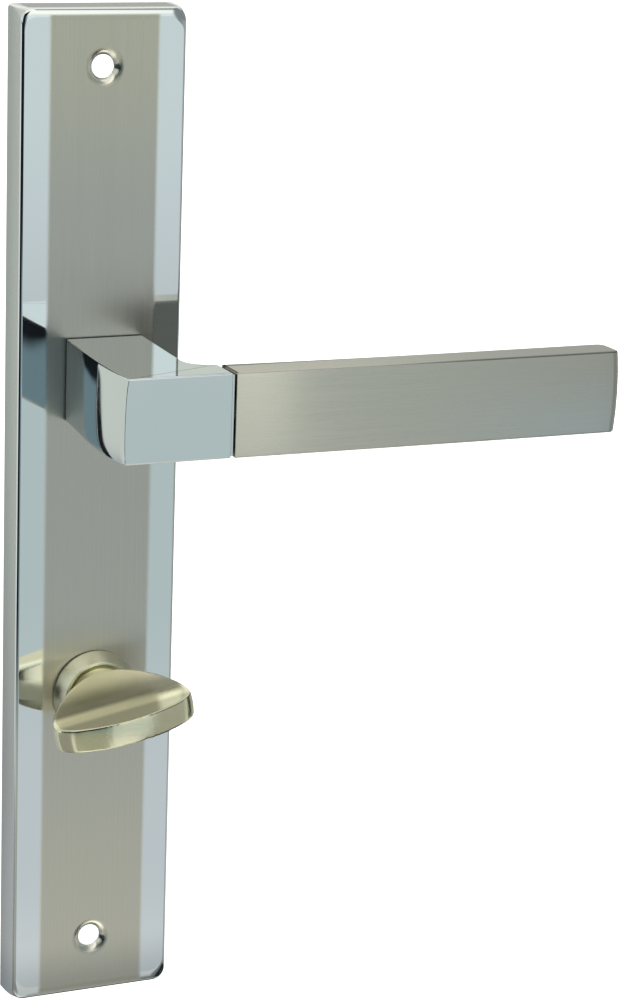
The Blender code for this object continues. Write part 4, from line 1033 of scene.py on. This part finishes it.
# Studio tent, as seen in the polished faces: azimuth from and to, elevation from and to, soft edges, colour
TENT_BASE = (0.63, 0.675, 0.61)
TENT_ZONES = (
    ((-180, -150), (-90, -22), 8, 9, (0.46, 0.48, 0.49)),     # dim low corner behind at the left
    ((125, 180), (20, 62), 8, 8, (0.86, 0.87, 0.81)),         # bright above behind
    ((-180, -150), (20, 62), 8, 8, (0.86, 0.87, 0.81)),
    ((-163.5, -160.5), (-20, 20), 1, 3, (0.01, 0.012, 0.015)),    # dark gap behind at the left
    ((-60, 75), (-90, 90), 12, 5, (0.61, 0.66, 0.68)),        # in front
    ((-60, 75), (-17, -13.5), 12, 3.5, (0.52, 0.605, 0.605)),
    ((-60, 75), (-7, 8), 12, 5, (0.68, 0.765, 0.775)),
    ((-60, 26), (-60, -27), 5, 5, (0.88, 0.89, 0.83)),
    ((29, 80), (-90, -28), 5, 6, (0.26, 0.28, 0.29)),         # dim corners at the right
    ((28, 80), (2, 60), 4, 5, (0.24, 0.27, 0.27)),
    ((36, 80), (-30, 4), 4, 4, (0.38, 0.39, 0.37)),
    ((-60, 22), (10, 60), 4, 5, (0.84, 0.93, 0.92)),          # soft box above the front
    ((-60, 21), (18, 60), 4, 6, (1.20, 1.20, 1.06)),
    ((-48, -3), (-40, 40), 6, 3, (0.19, 0.276, 0.306)),       # slate card beside the camera
    ((-50, -3), (-44, -20), 5, 3, (0.38, 0.395, 0.33)),
    ((-20, -8), (-10, 40), 3, 1, (0.01, 0.012, 0.015)),         # black cards round the camera
    ((-42, -16), (-9, 40), 3, 2, (0.01, 0.012, 0.015)),
    ((-100, -38), (-17, 5), 4, 4, (0.01, 0.012, 0.015)),
    ((-118, -104), (-16, 60), 4, 5, (1.05, 1.06, 1.04)),      # white card at the left
    ((-130, -62), (-60, -23), 5, 4, (0.30, 0.31, 0.30)),
    ((93, 128), (-17, 30), 5, 4, (0.03, 0.035, 0.035)),       # black card at the right
    ((40, 128), (-66, -32), 8, 4, (0.02, 0.022, 0.022)),
    ((112, 150), (-40, 2), 6, 4, (0.42, 0.42, 0.41)),         # dim low wall behind at the right
    ((-180, 180), (62, 90), 10, 8, (1.0, 1.0, 0.98)),         # above
    ((-180, 180), (-90, -60), 10, 8, (0.16, 0.17, 0.16)),     # below, and the bright table in front
    ((-60, 80), (-90, -60), 10, 8, (1.35, 1.35, 1.20)),
)

# Small lamp by the grip's left end: place, the point it faces, size across and up, and strength in watts
LAMP_PLACE = (51.0 * MM, -136.0 * MM, 4.0 * MM)
LAMP_AIM = (20.0 * MM, -54.0 * MM, 0.0)
LAMP_SIZE = (20.0 * MM, 60.0 * MM)
LAMP_POWER = 0.0021
LAMP_COLOUR = (1.0, 0.98, 0.80)


def build_grip_lamp(grip):
    data = bpy.data.lights.new("grip_lamp", "AREA")
    data.shape = "RECTANGLE"
    data.size, data.size_y = LAMP_SIZE
    data.energy = LAMP_POWER
    data.color = LAMP_COLOUR
    lamp = bpy.data.objects.new("grip_lamp", data)
    bpy.context.scene.collection.objects.link(lamp)
    lamp.location = LAMP_PLACE
    lamp.rotation_mode = "QUATERNION"
    lamp.rotation_quaternion = (Vector(LAMP_AIM) - Vector(LAMP_PLACE)).to_track_quat("-Z", "Y")
    lamp.visible_camera = False
    lit = bpy.data.collections.new("lit_by_grip_lamp")
    lit.objects.link(grip)
    lamp.light_linking.receiver_collection = lit


def build_tent():
    world = bpy.data.worlds.new("studio")
    bpy.context.scene.world = world
    bpy.context.scene.view_settings.view_transform = "Standard"
    world.use_nodes = True
    nodes = Nodes(world.node_tree)
    direction = nodes.add("ShaderNodeTexCoord").outputs["Generated"]
    x, y, z = separate(nodes, direction)
    azimuth = nodes.math("DEGREES", nodes.math("ARCTAN2", x, nodes.math("MULTIPLY", y, -1.0)))
    elevation = nodes.math("DEGREES", nodes.math("ARCSINE", z))
    colour = TENT_BASE
    for turn, lift, soft_turn, soft_lift, value in TENT_ZONES:
        inside = nodes.math("MULTIPLY", nodes.window(azimuth, *turn, soft_turn),
                            nodes.window(elevation, *lift, soft_lift))
        colour = nodes.mix(inside, colour, value)
    seen = nodes.add("ShaderNodeLightPath").outputs["Is Camera Ray"]
    colour = nodes.mix(seen, colour, (1.0, 1.0, 1.0))
    background = world.node_tree.nodes["Background"]
    nodes.set(background.inputs["Color"], colour)


build_camera()
build_floor()
build_tent()

build_plate(plate_finish())
build_lever_body(chrome_finish())
build_grip_lamp(build_grip(grip_finish()))
build_collar(satin_finish("collar_finish", COLLAR_NICKEL, COLLAR_GRAIN, 0.30, 0.2)[0])
build_knob(knob_finish())

paint(plain_finish("zinc_plate", (0.60, 0.61, 0.62), 0.38), "grip_stud", "grip_dowel", "spindle",
      "drive_hub", "spring_cover", "cover_screw_upper", "cover_screw_lower", "lever_washer", "collar_clip",
      "turn_spindle", "turn_pin")
paint(plain_finish("spring_steel", (0.22, 0.22, 0.23), 0.40), "return_spring", "turn_washer")
paint(plain_finish("black_oxide", (0.05, 0.05, 0.055), 0.42), "spindle_grub_screw", "lever_circlip",
      "turn_circlip")
paint(plain_finish("nylon", (0.82, 0.82, 0.78), 0.5, 0.0, 600.0, 0.02), "lever_bush", "turn_bush")
